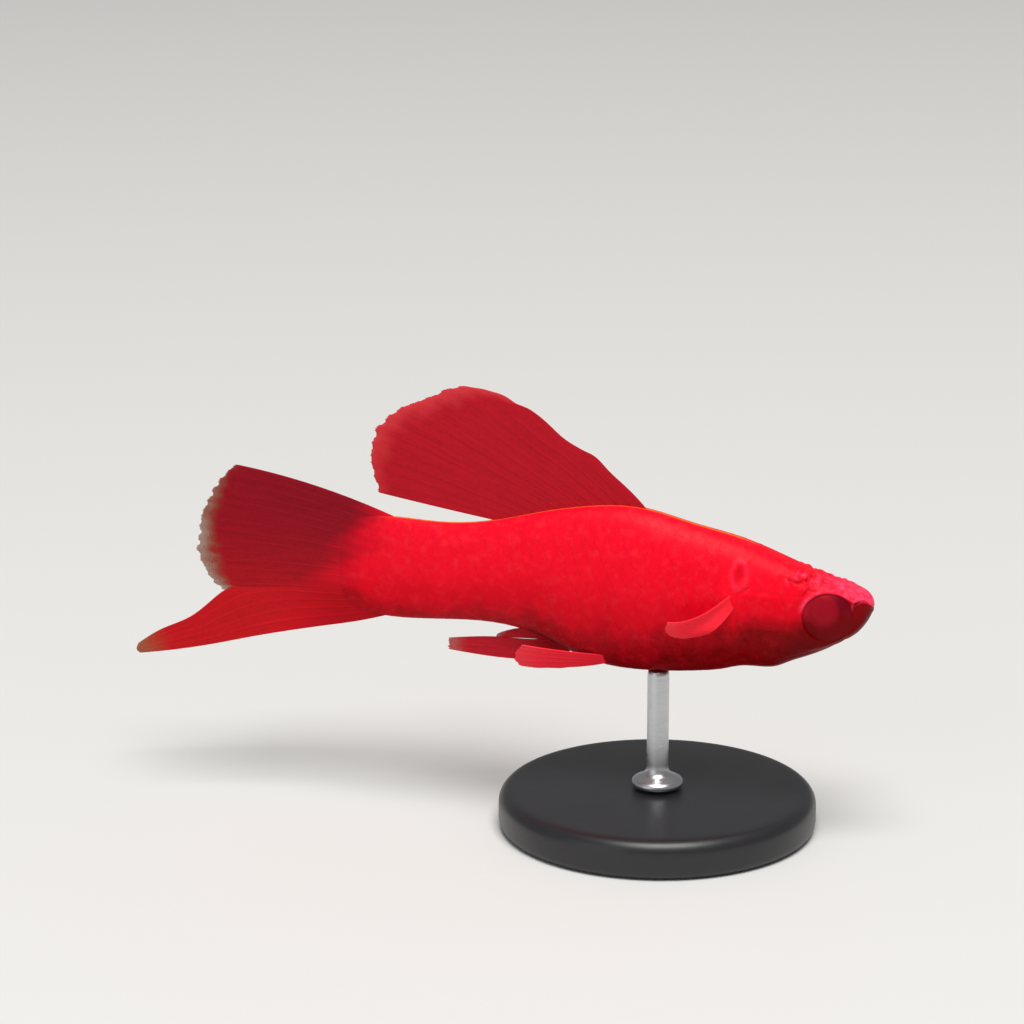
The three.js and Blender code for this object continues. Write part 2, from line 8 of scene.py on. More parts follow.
import bpy
import numpy as np
from bpy.props import FloatProperty, FloatVectorProperty, IntProperty, PointerProperty
from bpy.types import Operator, Panel, PropertyGroup
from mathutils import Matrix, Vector

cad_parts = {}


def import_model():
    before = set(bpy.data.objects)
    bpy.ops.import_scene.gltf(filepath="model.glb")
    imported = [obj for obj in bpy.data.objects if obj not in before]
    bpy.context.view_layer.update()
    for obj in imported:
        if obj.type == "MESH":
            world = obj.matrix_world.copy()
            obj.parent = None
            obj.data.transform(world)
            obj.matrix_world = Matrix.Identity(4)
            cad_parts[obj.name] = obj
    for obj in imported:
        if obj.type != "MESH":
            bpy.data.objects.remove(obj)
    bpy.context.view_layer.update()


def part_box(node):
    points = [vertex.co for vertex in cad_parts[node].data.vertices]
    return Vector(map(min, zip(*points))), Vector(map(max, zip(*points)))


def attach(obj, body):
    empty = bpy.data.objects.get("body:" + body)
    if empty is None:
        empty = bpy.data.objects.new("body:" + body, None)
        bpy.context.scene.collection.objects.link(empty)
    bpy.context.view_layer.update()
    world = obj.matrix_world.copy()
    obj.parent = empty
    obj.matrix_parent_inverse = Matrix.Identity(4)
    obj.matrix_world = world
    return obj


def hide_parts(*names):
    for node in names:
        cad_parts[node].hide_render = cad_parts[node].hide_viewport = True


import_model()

bl_info = {
    "name": "Swordtail",
    "version": (1, 0, 0),
    "blender": (4, 5, 0),
    "location": "View3D > Sidebar > Swordtail",
    "description": "Skin, scales, eyes and fins of a life-size swordtail on its display stand",
    "category": "Object",
}

MM = 0.001
BODY = "root"

# The fish, as in its solids
TOTAL_LENGTH = 76.0
FLESH_LENGTH = 56.3
BODY_DEPTH = 17.0
BODY_WIDTH = 7.3
NOSE_DOWN = math.radians(0.2)
SWAY_ANGLE = math.radians(13)
SWAY_WAVES = 0.62
ROD_AT = 21.4
BASE_THICKNESS = 4.0
BELLY_CLEARANCE = 12.5

# Share of the length, then back, belly, half width and waist in shares of depth and width, and
# the roundness of the upper and the lower half
SECTIONS = np.array([
    (0, -0.02, -0.02, 0, -0.02, 2.3, 2.2),
    (0.01, 0.042, -0.12, 0.41, -0.028, 2.3, 2.3),
    (0.028, 0.074, -0.196, 0.57, -0.042, 2.5, 2.3),
    (0.054, 0.1, -0.25, 0.67, -0.055, 2.7, 2.4),
    (0.092, 0.144, -0.318, 0.775, -0.07, 2.8, 2.5),
    (0.137, 0.202, -0.378, 0.86, -0.07, 2.6, 2.3),
    (0.192, 0.281, -0.432, 0.935, -0.06, 2.3, 2),
    (0.249, 0.346, -0.464, 0.985, -0.04, 2.1, 2),
    (0.32, 0.403, -0.492, 1, -0.03, 2, 2),
    (0.417, 0.478, -0.508, 0.98, -0.01, 2, 2),
    (0.507, 0.466, -0.468, 0.88, 0.01, 2, 2),
    (0.595, 0.408, -0.352, 0.74, 0.03, 2, 2),
    (0.675, 0.338, -0.298, 0.61, 0.03, 2, 2),
    (0.764, 0.296, -0.302, 0.5, 0.01, 2, 2),
    (0.853, 0.303, -0.318, 0.35, 0, 2, 2),
    (0.925, 0.29, -0.3, 0.17, 0, 2, 2),
    (0.96, 0.25, -0.268, 0.06, -0.01, 2, 2),
    (0.985, 0.17, -0.2, 0.018, -0.02, 2, 2),
    (1, -0.03, -0.03, 0, -0.03, 2, 2),
])

# The head
EYE_AT = 4.35
EYE_HEIGHT = -1.3
EYE_BULGE = 0.35
EYE_OPENING = 2.44  # radius of the opening that the eyeball shows in
EYEBALL_RADIUS = 2.95
EYEBALL_HALF = 1.35
EYE_FORWARD = math.radians(8)
PUPIL_AT = (-0.6, 0.75)  # forward and up from the middle of the eye
PUPIL_RADIUS = 1.5
GAPE = [(0, -0.75), (0.2, -0.42), (0.55, 0.1), (1.3, 0.3), (1.9, 0)]
FACE_LINE = [  # painted shade darkens the face below it
    (0, -0.6), (0.3, -0.15), (0.85, 0.28), (1.9, 0.36), (2.7, 0.85), (4.4, 1.2), (5.5, 1),
]
GILL_OPENING = [
    (12, 9.5), (12.6, 5.6), (13.2, 3.6), (13.45, 2.4), (13.3, 1), (12.95, -1), (12.2, -3.4),
    (11, -5.8), (9.2, -9.6),
]
NOSTRILS = [(2.4, 0.95, 0.16), (3.6, 1.2, 0.22)]  # behind the snout, out, radius
RIDGE = [(8.2, 2.1), (7.5, 2.5), (6.6, 2.62), (5.85, 2.1), (5.1, 2.4), (4.1, 2.1), (2.6, 1.7), (1.6, 1.45)]
MOUTH_CORNER = [(1.75, 0.35), (1.98, -0.1), (2.02, -0.6)]

# Folds and grooves of the head: path of [behind the snout, height], rise (a groove is below
# zero) and half width
FOLDS = [
    (RIDGE, 0.11, 0.32),
    ([(8.1, 2.35), (7.3, 2.1), (6.6, 2.35), (6, 2.6)], -0.16, 0.15),
    ([(6.5, 2.2), (6.25, 1.75), (6.45, 1.3), (6.75, 0.9)], -0.13, 0.13),
    ([(4.95, 2.1), (4.3, 1.95), (3.7, 1.75)], -0.1, 0.11),
    ([(6.2, 1.5), (5.6, 1.35), (5.1, 1.6), (4.2, 1.5)], -0.05, 0.12),
    ([(9.6, 2.5), (8.9, 2.9), (8.1, 2.7), (7.3, 3.1)], 0.03, 0.24),
    (MOUTH_CORNER, 0.07, 0.13),
    ([(2, -0.5), (1.9, -1.5), (2.1, -2.6), (2.7, -3.9)], -0.05, 0.16),
    ([(12.1, 1.25), (10, 1.12), (8.4, 0.95), (7.1, 0.8)], -0.035, 0.14),
    ([(8.9, 0.8), (8.4, -0.8), (8.5, -2.8), (9.4, -4.9)], -0.04, 0.14),
    ([(8.5, 0.7), (8, -0.8), (8.1, -2.9), (9, -5.1)], 0.03, 0.2),
    ([(10.6, 0.4), (10.9, -1.2), (10.7, -3), (10, -4.6)], 0.02, 0.3),
    ([(3.6, -4.4), (5.6, -5), (8, -5.8), (10.2, -6.5)], -0.035, 0.14),
    ([(12.45, 3.7), (12.35, 4.2), (12.56, 4.8), (13.2, 5.6)], 0.03, 0.18),
    ([(12.4, 3.7), (11.9, 4.4), (11.3, 5), (10.6, 5.2)], 0.025, 0.16),
    ([(12.05, 1.55), (12.55, 1.2), (13.05, 0.85)], -0.1, 0.15),
]

# Pits: behind the snout, height, half length, half height, and then depth and rim
SPOT = (13, 2.72, 0.5, 0.85)  # the soft hollow at the top of the gill opening
PITS = [(*SPOT, -0.07, 0.05), (6.35, 2.3, 0.28, 0.2, -0.14, 0.05)]
SCALE_SINK = 0.018  # at both ends of the coat of scales

# The fins, as in their solids: rays, root line, margin, bow of the first and last ray and its
# fullness, sideways lean of the margin and outward swell of the middle. `steps` are lifts of the
# front edge by its short rays, as [place, lift, half length]. `grid` counts points across and
# along the rays, `web` is the thickness between them, `ridge` the height of a ray, `forks` how far
# rays fork and `fray` how ragged the margin is. `solid_rear` and `solid_corner` hold the clear
# margin back, and `bright` says how far the last rays take on the sword's colour.
DORSAL = dict(
    rays=14, grid=(265, 120), seed=3, root=[(22, 0, 7), (36.6, 0, 5.4)],
    margin=[
        (38.3, 0, 18.5), (42.3, 0, 18.9), (46.1, 0, 17.4), (49.4, 0, 15.7), (51.4, 0, 13.1),
        (51.6, 0, 10.3), (50.7, 0, 7.3),
    ],
    bow=(1.25, 0), full=4, lean=1.1, ridge=0.036, solid_rear=0.06,
    steps=[(0.37, 0.4, 0.07), (0.58, -0.3, 0.09), (0.88, -0.3, 0.06)],
)
CAUDAL = dict(
    rays=15, grid=(281, 120), seed=5, root=[(48, 0, 4.8), (52, 0, -3.3)],
    margin=[
        (65.3, 0, 9.7), (67.3, 0, 7.7), (68.6, 0, 5.4), (69.3, 0, 3), (69.3, 0, 0.4),
        (68.5, 0, -2), (66.8, 0, -3.7),
    ],
    bow=(0.45, -0.05), lean=-0.5, lean_end=1, ridge=0.035, solid_corner=0.1, bright=0.75,
)
SWORD = dict(
    rays=6, grid=(91, 240), seed=1, ridge=0.05, forks=0, fray=0, round_tip=0.014,
    upper=[
        (52, -3), (57, -2.8), (61.8, -2.65), (65.6, -3.2), (67.9, -4.7), (70.4, -6.75),
        (73.3, -8.1), (TOTAL_LENGTH, -9.85),
    ],
    lower=[
        (48.8, -5), (52.5, -6.1), (56.4, -6.95), (60.2, -7.75), (64.2, -8.65), (68.2, -9.6),
        (72.4, -10.35), (75.9, -10.75),
    ],
)
GONOPODIUM = dict(
    rays=5, grid=(73, 120), seed=1, web=0.34, ridge=0.08, forks=0.3, fray=0.006,
    upper=[(31, -5.8), (34.2, -6.5), (38.4, -6.6), (43.2, -7.15)],
    lower=[(29.6, -6.9), (33.2, -8.4), (38.2, -8.7), (43.2, -8.35)],
)
ANAL = dict(
    rays=6, grid=(61, 40), seed=7, web=0.2, ridge=0.05, root=[(31, 0, -6.3), (33.8, 0, -4.7)],
    margin=[(38.2, 0, -6.6), (37.8, 0, -6.1), (36.4, 0, -5.6)], bow=(0, -0.1),
)
PECTORAL = dict(
    rays=12, grid=(155, 70), seed=9, web=0.2, ridge=0.05, root=[(13.4, 2.9, 1.1), (13.2, 3, -0.3)],
    margin=[
        (19.1, 7.8, -1.05), (19.4, 7.4, -2), (18.9, 6.6, -2.85), (17.9, 6, -3.15),
        (16.9, 5.4, -3.1), (16.1, 5, -2.9),
    ],
    bow=(-0.6, -0.4), swell=1.4,
)
PELVIC = dict(
    rays=7, grid=(85, 70), seed=13, web=0.22, ridge=0.06, root=[(24.2, 1.5, -6.9), (26, 0.8, -7.8)],
)
RIGHT_PELVIC = dict(
    PELVIC, bow=(-0.2, -0.25),
    margin=[(34.6, 3, -6.2), (35.4, 2.7, -7.3), (35.1, 2.3, -8.6), (32.2, 1.9, -8.65)],
)
LEFT_PELVIC = dict(
    PELVIC, bow=(-0.4, -0.1),
    margin=[(36.4, 1.9, -9), (35.9, 1.6, -9.8), (33.6, 1.3, -9.8), (30.5, 1, -9.4)],
)
FRAY = 0.012  # where a fin doesn't give its own


# Curves

def smoothstep(low, high, x):
    """0 up to `low` and 1 from `high` on, with a soft step between, or the reverse if high < low."""
    t = np.clip((x - low) / (high - low), 0, 1)
    return t * t * (3 - 2 * t)


def bell(x, width):
    return np.exp(-((x / width) ** 2))


def spline(xs, ys):
    """A natural cubic spline through (xs, ys), for arrays."""
    xs, ys = np.asarray(xs, float), np.asarray(ys, float)
    n, step = len(xs), np.diff(xs)
    matrix, right = np.eye(n), np.zeros(n)
    for i in range(1, n - 1):
        matrix[i, i - 1:i + 2] = step[i - 1] / 6, (step[i - 1] + step[i]) / 3, step[i] / 6
        right[i] = (ys[i + 1] - ys[i]) / step[i] - (ys[i] - ys[i - 1]) / step[i - 1]
    bend = np.linalg.solve(matrix, right)

    def value(x):
        x = np.asarray(x, float)
        k = np.clip(np.searchsorted(xs, x), 1, n - 1)
        h = step[k - 1]
        a = (xs[k] - x) / h
        b = 1 - a
        return a * ys[k - 1] + b * ys[k] + ((a ** 3 - a) * bend[k - 1] + (b ** 3 - b) * bend[k]) * h * h / 6
    return value


def through(points):
    """A smooth curve through points spread evenly over 0 to 1, one array for each axis."""
    places = np.linspace(0, 1, len(points))
    curves = [spline(places, column) for column in zip(*points)]
    return lambda t: [curve(t) for curve in curves]


def distance_to(path, s, z):
    """The distance of each point from a smooth path drawn on the flank."""
    xs, zs = through(path)(np.linspace(0, 1, 6 * len(path)))
    best = np.full(np.shape(s), 1e9)
    for x0, z0, x1, z1 in zip(xs, zs, xs[1:], zs[1:]):
        dx, dz = x1 - x0, z1 - z0
        t = np.clip(((s - x0) * dx + (z - z0) * dz) / (dx * dx + dz * dz), 0, 1)
        best = np.minimum(best, np.hypot(s - x0 - t * dx, z - z0 - t * dz))
    return best


# The flesh

def turn(share):
    return np.arccos(1 - 2 * np.clip(share, 0, 1)) / math.pi


def profile(column, scale):
    curve = spline(turn(SECTIONS[:, 0]), SECTIONS[:, column] * scale)
    return lambda s: curve(turn(np.asarray(s) / FLESH_LENGTH))


back = profile(1, BODY_DEPTH)
belly = profile(2, BODY_DEPTH)
side = profile(3, BODY_WIDTH / 2)
waist = profile(4, BODY_DEPTH)
crown = profile(5, 1)
keel = profile(6, 1)
gill_edge = spline([-z for _, z in GILL_OPENING], [s for s, _ in GILL_OPENING])
gape_line = spline(*zip(*GAPE))
face_line = spline(*zip(*FACE_LINE))


def plain_skin(s, angle):
    """Points of the smooth skin at angles round the body from its left side."""
    cos, sin = np.cos(angle), np.sin(angle)
    upper = sin > 0
    middle = waist(s)
    power = 2 / np.where(upper, crown(s), keel(s))
    height = np.maximum(0, np.where(upper, back(s) - middle, middle - belly(s)))
    y = np.maximum(0, side(s)) * np.sign(cos) * np.abs(cos) ** power
    z = middle + height * np.sign(sin) * np.abs(sin) ** power
    return np.stack(np.broadcast_arrays(-s, y, z), -1)


def width_at(s, z):
    upper = z > waist(s)
    share = (z - waist(s)) / (back(s) - waist(s) if upper else belly(s) - waist(s))
    power = crown(s) if upper else keel(s)
    return float(side(s) * (1 - share ** power) ** (1 / power))


def height_at(s, out):
    power = crown(s)
    return float(waist(s) + (back(s) - waist(s)) * (1 - (out / side(s)) ** power) ** (1 / power))


def outward(s, angle):
    """Unit normals of the smooth skin."""
    step = 0.02
    before, behind = np.maximum(s - step, 0), np.minimum(s + step, FLESH_LENGTH)
    along = plain_skin(behind, angle) - plain_skin(before, angle)
    round_body = plain_skin(s, angle + step) - plain_skin(s, angle - step)
    normal = np.cross(along, round_body)
    return normal / np.maximum(1e-12, np.linalg.norm(normal, axis=-1, keepdims=True))


def oval(s, z, at, height, long=1, tall=1):
    """Distance from a place on the flank, in half lengths and half heights of an oval round it."""
    return np.hypot((s - at) / long, (z - height) / tall)


# How far out from the middle the eyeball's own middle and the edge of its opening lie
EYE_DEPTH = width_at(EYE_AT, EYE_HEIGHT) + EYE_BULGE - EYEBALL_HALF
EYE_EDGE = EYE_DEPTH + EYEBALL_HALF * math.sqrt(1 - (EYE_OPENING / EYEBALL_RADIUS) ** 2)


def eye_mound(s, y, z):
    """How far the skin moves sideways to meet the eyeball: a mound, a rim and the socket."""
    radius = oval(s, z, EYE_AT, EYE_HEIGHT)
    edge = EYE_EDGE - (EYE_AT - s) * math.tan(EYE_FORWARD)
    mound = np.clip(edge + 0.02 - np.abs(y), -0.25, 0.5) * smoothstep(4.2, 2.5, radius)
    above_behind = ((s - EYE_AT) * 0.6 + (z - EYE_HEIGHT) * 0.8) / EYE_OPENING
    height = 0.02 + 0.13 * (0.5 + 0.5 * np.clip(above_behind, -1, 1))
    rim = height * bell(radius - EYE_OPENING - 0.2, 0.2)
    socket = -0.8 * smoothstep(EYE_OPENING + 0.03, EYE_OPENING - 0.22, radius)
    return (mound + rim + socket) * smoothstep(2.1, 1.4, z) * smoothstep(0.3, 1.4, np.abs(y))


def mouth_relief(s, z):
    above = z - gape_line(np.minimum(s, GAPE[-1][0]))
    gape = -0.13 * bell(above, 0.09) * smoothstep(-0.1, 0.5, s)
    lips = 0.04 * bell(above - 0.3, 0.22) + 0.07 * bell(above + 0.36, 0.25)
    jaw = 0.06 * bell(s - 1.2, 0.8) * bell(z + 1.5, 0.8)
    return smoothstep(2.05, 1.7, s) * (gape + lips) + jaw


def gill_at(z):
    """Where the gill opening is at a height."""
    return gill_edge(-np.clip(z, -9, 9))


def gill_relief(s, z):
    behind = s - gill_at(z)
    reach = smoothstep(3.6, 2.4, z) * smoothstep(-5.6, -3, z)
    cover = np.where(behind < 0, np.exp(np.minimum(behind, 0) / 1.5), smoothstep(0.4, 0, behind))
    return reach * (0.07 * cover - 0.035 * bell(behind - 0.4, 0.25))


def throat_relief(s, z):
    """The folded gill skin under the head, and the step up to the chest behind it."""
    return (0.24 * bell(s - 9.6, 1.4) - 0.26 * bell(s - 13, 1.6)) * smoothstep(-5, -6.8, z)


def lumps(s, y, z):
    """Low fleshy lumps over the eye and along the snout."""
    near = bell(distance_to(RIDGE, s, z), 0.55) * smoothstep(0.3, 0.9, np.abs(y))
    return near * (0.05 * np.sin(7.1 * s + 2 * np.sin(2.3 * z + 0.7 * s)) + 0.03 * np.sin(11 * z - 5 * s))


def relief(s, y, z):
    """How far the head's forms stand out of the smooth skin, or lie in it."""
    total = mouth_relief(s, z) + gill_relief(s, z) + throat_relief(s, z) + lumps(s, y, z)
    beside_crown = 1 - smoothstep(0.5, 1.5, z) * smoothstep(0.8, 0.2, np.abs(y))
    for path, rise, width in FOLDS:
        total = total + beside_crown * rise * bell(distance_to(path, s, z), width)
    for *place, depth, rim in PITS:
        radius = oval(s, z, *place)
        total = total + depth * smoothstep(1, 0.35, radius) + rim * bell(radius - 1.25, 0.35)
    for at, out, radius in NOSTRILS:
        apart = np.hypot(np.hypot(s - at, np.abs(y) - out), z - height_at(at, out))
        total = total - 0.8 * radius * bell(apart, radius)
    fin_pad = 0.2 * bell(np.hypot((s - 14) * 0.8, (z - 0.4) * 0.7), 0.9)
    return total + fin_pad * (s > gill_at(z))


def scale_start(z):
    """Where the scales begin: behind the gill cover, and further forward on the nape."""
    return gill_at(z) + 0.35 - 1.4 * smoothstep(3.4, 5.6, z)


def scaled(s, z):
    """1 where scales cover the skin."""
    return smoothstep(0.1, 1.8, s - scale_start(z)) * smoothstep(53, 50.5, s)


def scales_sunk(s, z):
    """How deep the scales dip at both ends of their coat, where bare skin takes over."""
    return SCALE_SINK * (smoothstep(2.6, -0.2, s - scale_start(z)) + smoothstep(47.5, 53, s))


def skin_point(s, angle, lift):
    """Points of the finished skin, moved outwards by `lift`."""
    plain = plain_skin(s, angle)
    y, z = plain[..., 1], plain[..., 2]
    points = plain + outward(s, angle) * (relief(s, y, z) + lift)[..., None]
    points[..., 1] += np.sign(y) * eye_mound(s, y, z)
    return points


# Arc length round one side, so that scales are spread evenly from belly to back
ARC_PLACES = np.linspace(0.5, FLESH_LENGTH - 0.05, 120)
ARC_SHARES = np.linspace(0, 1, 65)


def arc_table():
    angles = np.linspace(-math.pi / 2, math.pi / 2, 181)
    table = []
    for s in ARC_PLACES:
        steps = np.linalg.norm(np.diff(plain_skin(np.full_like(angles, s), angles), axis=0), axis=1)
        length = np.concatenate([[0], np.cumsum(steps)])
        table.append(np.interp(ARC_SHARES, length / length[-1], angles))
    return np.array(table)


ARC_ANGLES = arc_table()


def angle_at(s, share):
    """The angle round the left side at a share of the way from belly to back."""
    row = np.interp(s, ARC_PLACES, np.arange(len(ARC_PLACES)))
    column = np.clip(share, 0, 1) * (len(ARC_SHARES) - 1)
    r = np.minimum(row.astype(int), len(ARC_PLACES) - 2)
    c = np.minimum(column.astype(int), len(ARC_SHARES) - 2)
    fr, fc = row - r, column - c
    near = ARC_ANGLES[r, c] * (1 - fc) + ARC_ANGLES[r, c + 1] * fc
    far = ARC_ANGLES[r + 1, c] * (1 - fc) + ARC_ANGLES[r + 1, c + 1] * fc
    beyond = (np.clip(share, -0.1, 1.1) - np.clip(share, 0, 1)) * math.pi
    return near * (1 - fr) + far * fr + beyond


# The pose

def heading(s):
    return SWAY_ANGLE * (s / TOTAL_LENGTH) * np.sin(2 * math.pi * SWAY_WAVES * s / TOTAL_LENGTH)


SPINE_S = np.linspace(-2, TOTAL_LENGTH + 2, 1601)


def spine(wave):
    """The middle line's way from the rod: along by the cosine of its heading, sideways by the sine."""
    step = SPINE_S[1] - SPINE_S[0]
    way = np.concatenate([[0], np.cumsum(wave(heading(SPINE_S[:-1] + step / 2)) * step)])
    return way - np.interp(ROD_AT, SPINE_S, way)


SPINE_X = -spine(np.cos)
SPINE_Y = spine(np.sin)
LIFT = BASE_THICKNESS + BELLY_CLEARANCE - float(belly(ROD_AT))


def world(points):
    """Points of the straight fish, in millimetres, to the frame, in metres."""
    s, y, z = -points[..., 0], points[..., 1], points[..., 2]
    h = heading(s)
    x = np.interp(s, SPINE_S, SPINE_X) + y * np.sin(h)
    y = np.interp(s, SPINE_S, SPINE_Y) + y * np.cos(h)
    tilted_x = x * math.cos(NOSE_DOWN) + z * math.sin(NOSE_DOWN)
    tilted_z = z * math.cos(NOSE_DOWN) - x * math.sin(NOSE_DOWN) + LIFT
    return np.stack([tilted_x, y, tilted_z], -1) * MM


# Meshes

def mesh_object(name, points, faces, material, attributes=None):
    """A smooth-shaded mesh. Each attribute holds one value for each point."""
    mesh = bpy.data.meshes.new(name)
    mesh.from_pydata(points.reshape(-1, 3).tolist(), [], faces)
    mesh.polygons.foreach_set("use_smooth", np.ones(len(mesh.polygons), bool))
    for key, values in (attributes or {}).items():
        layer = mesh.attributes.new(key, "FLOAT", "POINT")
        layer.data.foreach_set("value", np.ascontiguousarray(values, np.float32).ravel())
    mesh.materials.append(material)
    mesh.validate()
    mesh.update()
    piece = bpy.data.objects.new(name, mesh)
    bpy.context.scene.collection.objects.link(piece)
    return piece


def grid_faces(columns, rows, wrap=False):
    """Quads over a grid of points stored column by column."""
    wide = columns if wrap else columns - 1
    c, r = np.meshgrid(np.arange(wide), np.arange(rows - 1), indexing="ij")
    a = c * rows + r
    b = (c + 1) % columns * rows + r
    return np.stack([a, b, b + 1, a + 1], -1).reshape(-1, 4)


def capped_faces(columns, rows, flip=False):
    """Faces of a closed round shape: quads round it and a flat cap at each end."""
    ends = np.arange(columns) * rows
    faces = grid_faces(columns, rows, wrap=True).tolist()
    faces += [ends[::-1].tolist(), (ends + rows - 1).tolist()]
    return [face[::-1] for face in faces] if flip else faces


def sheet_faces(columns, rows):
    """Faces of a closed sheet with two grids of points: its top, its underside and its rim."""
    count = columns * rows
    index = np.arange(count).reshape(columns, rows)
    loop = np.concatenate([index[:-1, 0], index[-1, :-1], index[:0:-1, -1], index[0, :0:-1]])
    after = np.roll(loop, -1)
    rim = np.stack([after, loop, loop + count, after + count], -1)
    top = grid_faces(columns, rows)
    return np.concatenate([top, top[:, ::-1] + count, rim])


def finish_piece(piece, slot, *nodes):
    if nodes:
        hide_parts(*nodes)
    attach(piece, BODY)


# Materials

def set_inputs(tree, node, inputs):
    """Sets or links inputs of a node. A colour is three numbers."""
    for key, value in inputs.items():
        socket = node.inputs[key]
        if isinstance(value, bpy.types.NodeSocket):
            tree.links.new(value, socket)
        elif socket.type == "RGBA":
            socket.default_value = (*value, 1.0)
        else:
            socket.default_value = value


def new_node(tree, kind, inputs=None, **settings):
    node = tree.nodes.new(kind)
    for key, value in settings.items():
        setattr(node, key, value)
    set_inputs(tree, node, inputs or {})
    return node


def new_material(name):
    material = bpy.data.materials.new(name)
    material.use_nodes = True
    tree = material.node_tree
    tree.nodes.clear()
    shader = new_node(tree, "ShaderNodeBsdfPrincipled")
    new_node(tree, "ShaderNodeOutputMaterial", {"Surface": shader.outputs["BSDF"]})
    return material, tree, shader


def attribute(tree, name):
    return new_node(tree, "ShaderNodeAttribute", attribute_name=name).outputs["Fac"]


def object_place(tree):
    return new_node(tree, "ShaderNodeTexCoord").outputs["Object"]


def noise(tree, scale, detail=4.0, roughness=0.55, place=None):
    """Noise in the object's own space, in features a metre, unless another place is given."""
    values = {"Vector": place or object_place(tree), "Scale": scale, "Detail": detail, "Roughness": roughness}
    return new_node(tree, "ShaderNodeTexNoise", values).outputs["Fac"]


def ramp(tree, fac, stops):
    node = new_node(tree, "ShaderNodeValToRGB", {"Fac": fac})
    node.color_ramp.interpolation = "EASE"
    elements = node.color_ramp.elements
    while len(elements) < len(stops):
        elements.new(0.5)
    for element, (place, color) in zip(elements, stops):
        element.position = place
        element.color = (*color, 1.0)
    return node.outputs["Color"]


def mixed(tree, fac, first, second):
    values = {"Fac": fac, "Color1": first, "Color2": second}
    return new_node(tree, "ShaderNodeMixRGB", values).outputs["Color"]


def tinted(tree, color, tints):
    """A colour that goes over to others, one after the other, as far as the attributes say."""
    for name, other in tints.items():
        color = mixed(tree, attribute(tree, name), color, other)
    return color


def linear(tree, value, factor, offset=0.0, clamp=False):
    """value * factor + offset, of sockets or numbers."""
    values = {0: value, 1: factor, 2: offset}
    node = new_node(tree, "ShaderNodeMath", values, operation="MULTIPLY_ADD", use_clamp=clamp)
    return node.outputs["Value"]


def above_level(tree, pattern, level, strength):
    """How strongly a pattern shows where it is above a level, and 0 elsewhere."""
    return linear(tree, pattern, strength, -level * strength, clamp=True)


def grained(tree, color, factor, pattern, amount):
    """A colour with an amount of a lighter or darker one in the grain of a pattern."""
    return mixed(tree, linear(tree, pattern, amount), color, [c * factor for c in color])


def bump(tree, height, distance, strength):
    values = {"Height": height, "Distance": distance, "Strength": strength}
    return new_node(tree, "ShaderNodeBump", values).outputs["Normal"]


def flesh_material(colors, tail_red):
    """Red skin with painted shade: deep below and bright on the flank, as under a light from above, a thin
    line of gold along the back, painted shade in the folds and on the lower face, and a pink snout with
    painted highlights.
    """
    material, tree, shader = new_material("flesh_red")
    tone = attribute(tree, "tone")
    # The tone ramp is painted shade: the red darkens from the lit back and flank down to the belly, as under
    # a light from above.
    color = ramp(tree, tone, [
        (0.0, colors.belly_shade_red), (0.12, colors.deep_shade_red), (0.37, colors.lower_red),
        (0.6, colors.flank_red), (1.0, colors.back_red),
    ])
    amount = linear(tree, tone, 0.7, 0.3)
    paler = [c + 0.035 for c in colors.flank_red]
    for size, level, strength, other in (
        (420.0, 0.42, 1.3, colors.lower_red),
        (1500.0, 0.45, 1.7, colors.lower_red),
        (1150.0, 0.5, 1.7, paler),
    ):
        mottle = above_level(tree, noise(tree, size, 4.0, 0.6), level, strength)
        color = mixed(tree, linear(tree, mottle, amount), color, other)
    # Pink: the snout's own pink, partly painted light on its lit top, and painted highlights on the eye's
    # rim, the crests and the gill spot's rim.
    patchy = linear(tree, noise(tree, 1700.0, 3.0, 0.65), 3.2, -0.75)
    pink = linear(tree, attribute(tree, "pink"), patchy, clamp=True)
    color = mixed(tree, pink, color, colors.snout_pink_and_highlight)
    # Then the tail's darker red, the gold back line, and painted shade in the folds, grooves and pits and on
    # the lower face.
    color = tinted(tree, color, {"tail": tail_red, "gold": colors.back_gold, "shade": colors.painted_shade_red})
    set_inputs(tree, shader, {
        "Base Color": color,
        "Roughness": linear(tree, noise(tree, 900.0), 0.2, colors.roughness - 0.1),
        "Specular IOR Level": 0.06,
        "Subsurface Weight": 0.08,
        "Subsurface Radius": (1.0, 0.1, 0.08),
        "Subsurface Scale": 0.0005,
        "Coat Weight": 0.02,
        "Coat Roughness": 0.3,
        "Normal": bump(tree, noise(tree, 4200.0, 4.0, 0.65), 0.00004, 0.5),
    })
    return material


def streaks(tree):
    """Fine streaks that run along the rays of a fin."""
    place = new_node(tree, "ShaderNodeCombineXYZ", {
        "X": linear(tree, attribute(tree, "across"), 4.0),
        "Y": linear(tree, attribute(tree, "along"), 3.0),
    }).outputs["Vector"]
    return noise(tree, 1.0, 4.0, 0.6, place)


# Colour of the rays, colour of the margin, where it begins and how opaque it is
FIN_LOOKS = {
    "dorsal_web": ((0.42, 0.004, 0.014), (0.62, 0.035, 0.045), 0.83, 0.95),
    "tail_web": ((0.3, 0.003, 0.012), (0.26, 0.085, 0.025), 0.87, 0.55),
    "sword_web": ((0.56, 0.006, 0.01), (0.33, 0.09, 0.035), 0.83, 0.85),
    "anal_web": ((0.6, 0.012, 0.025), (0.5, 0.05, 0.05), 0.85, 0.75),
    "paired_web": ((1.0, 0.012, 0.035), (1.0, 0.045, 0.065), 0.7, 0.95),
}


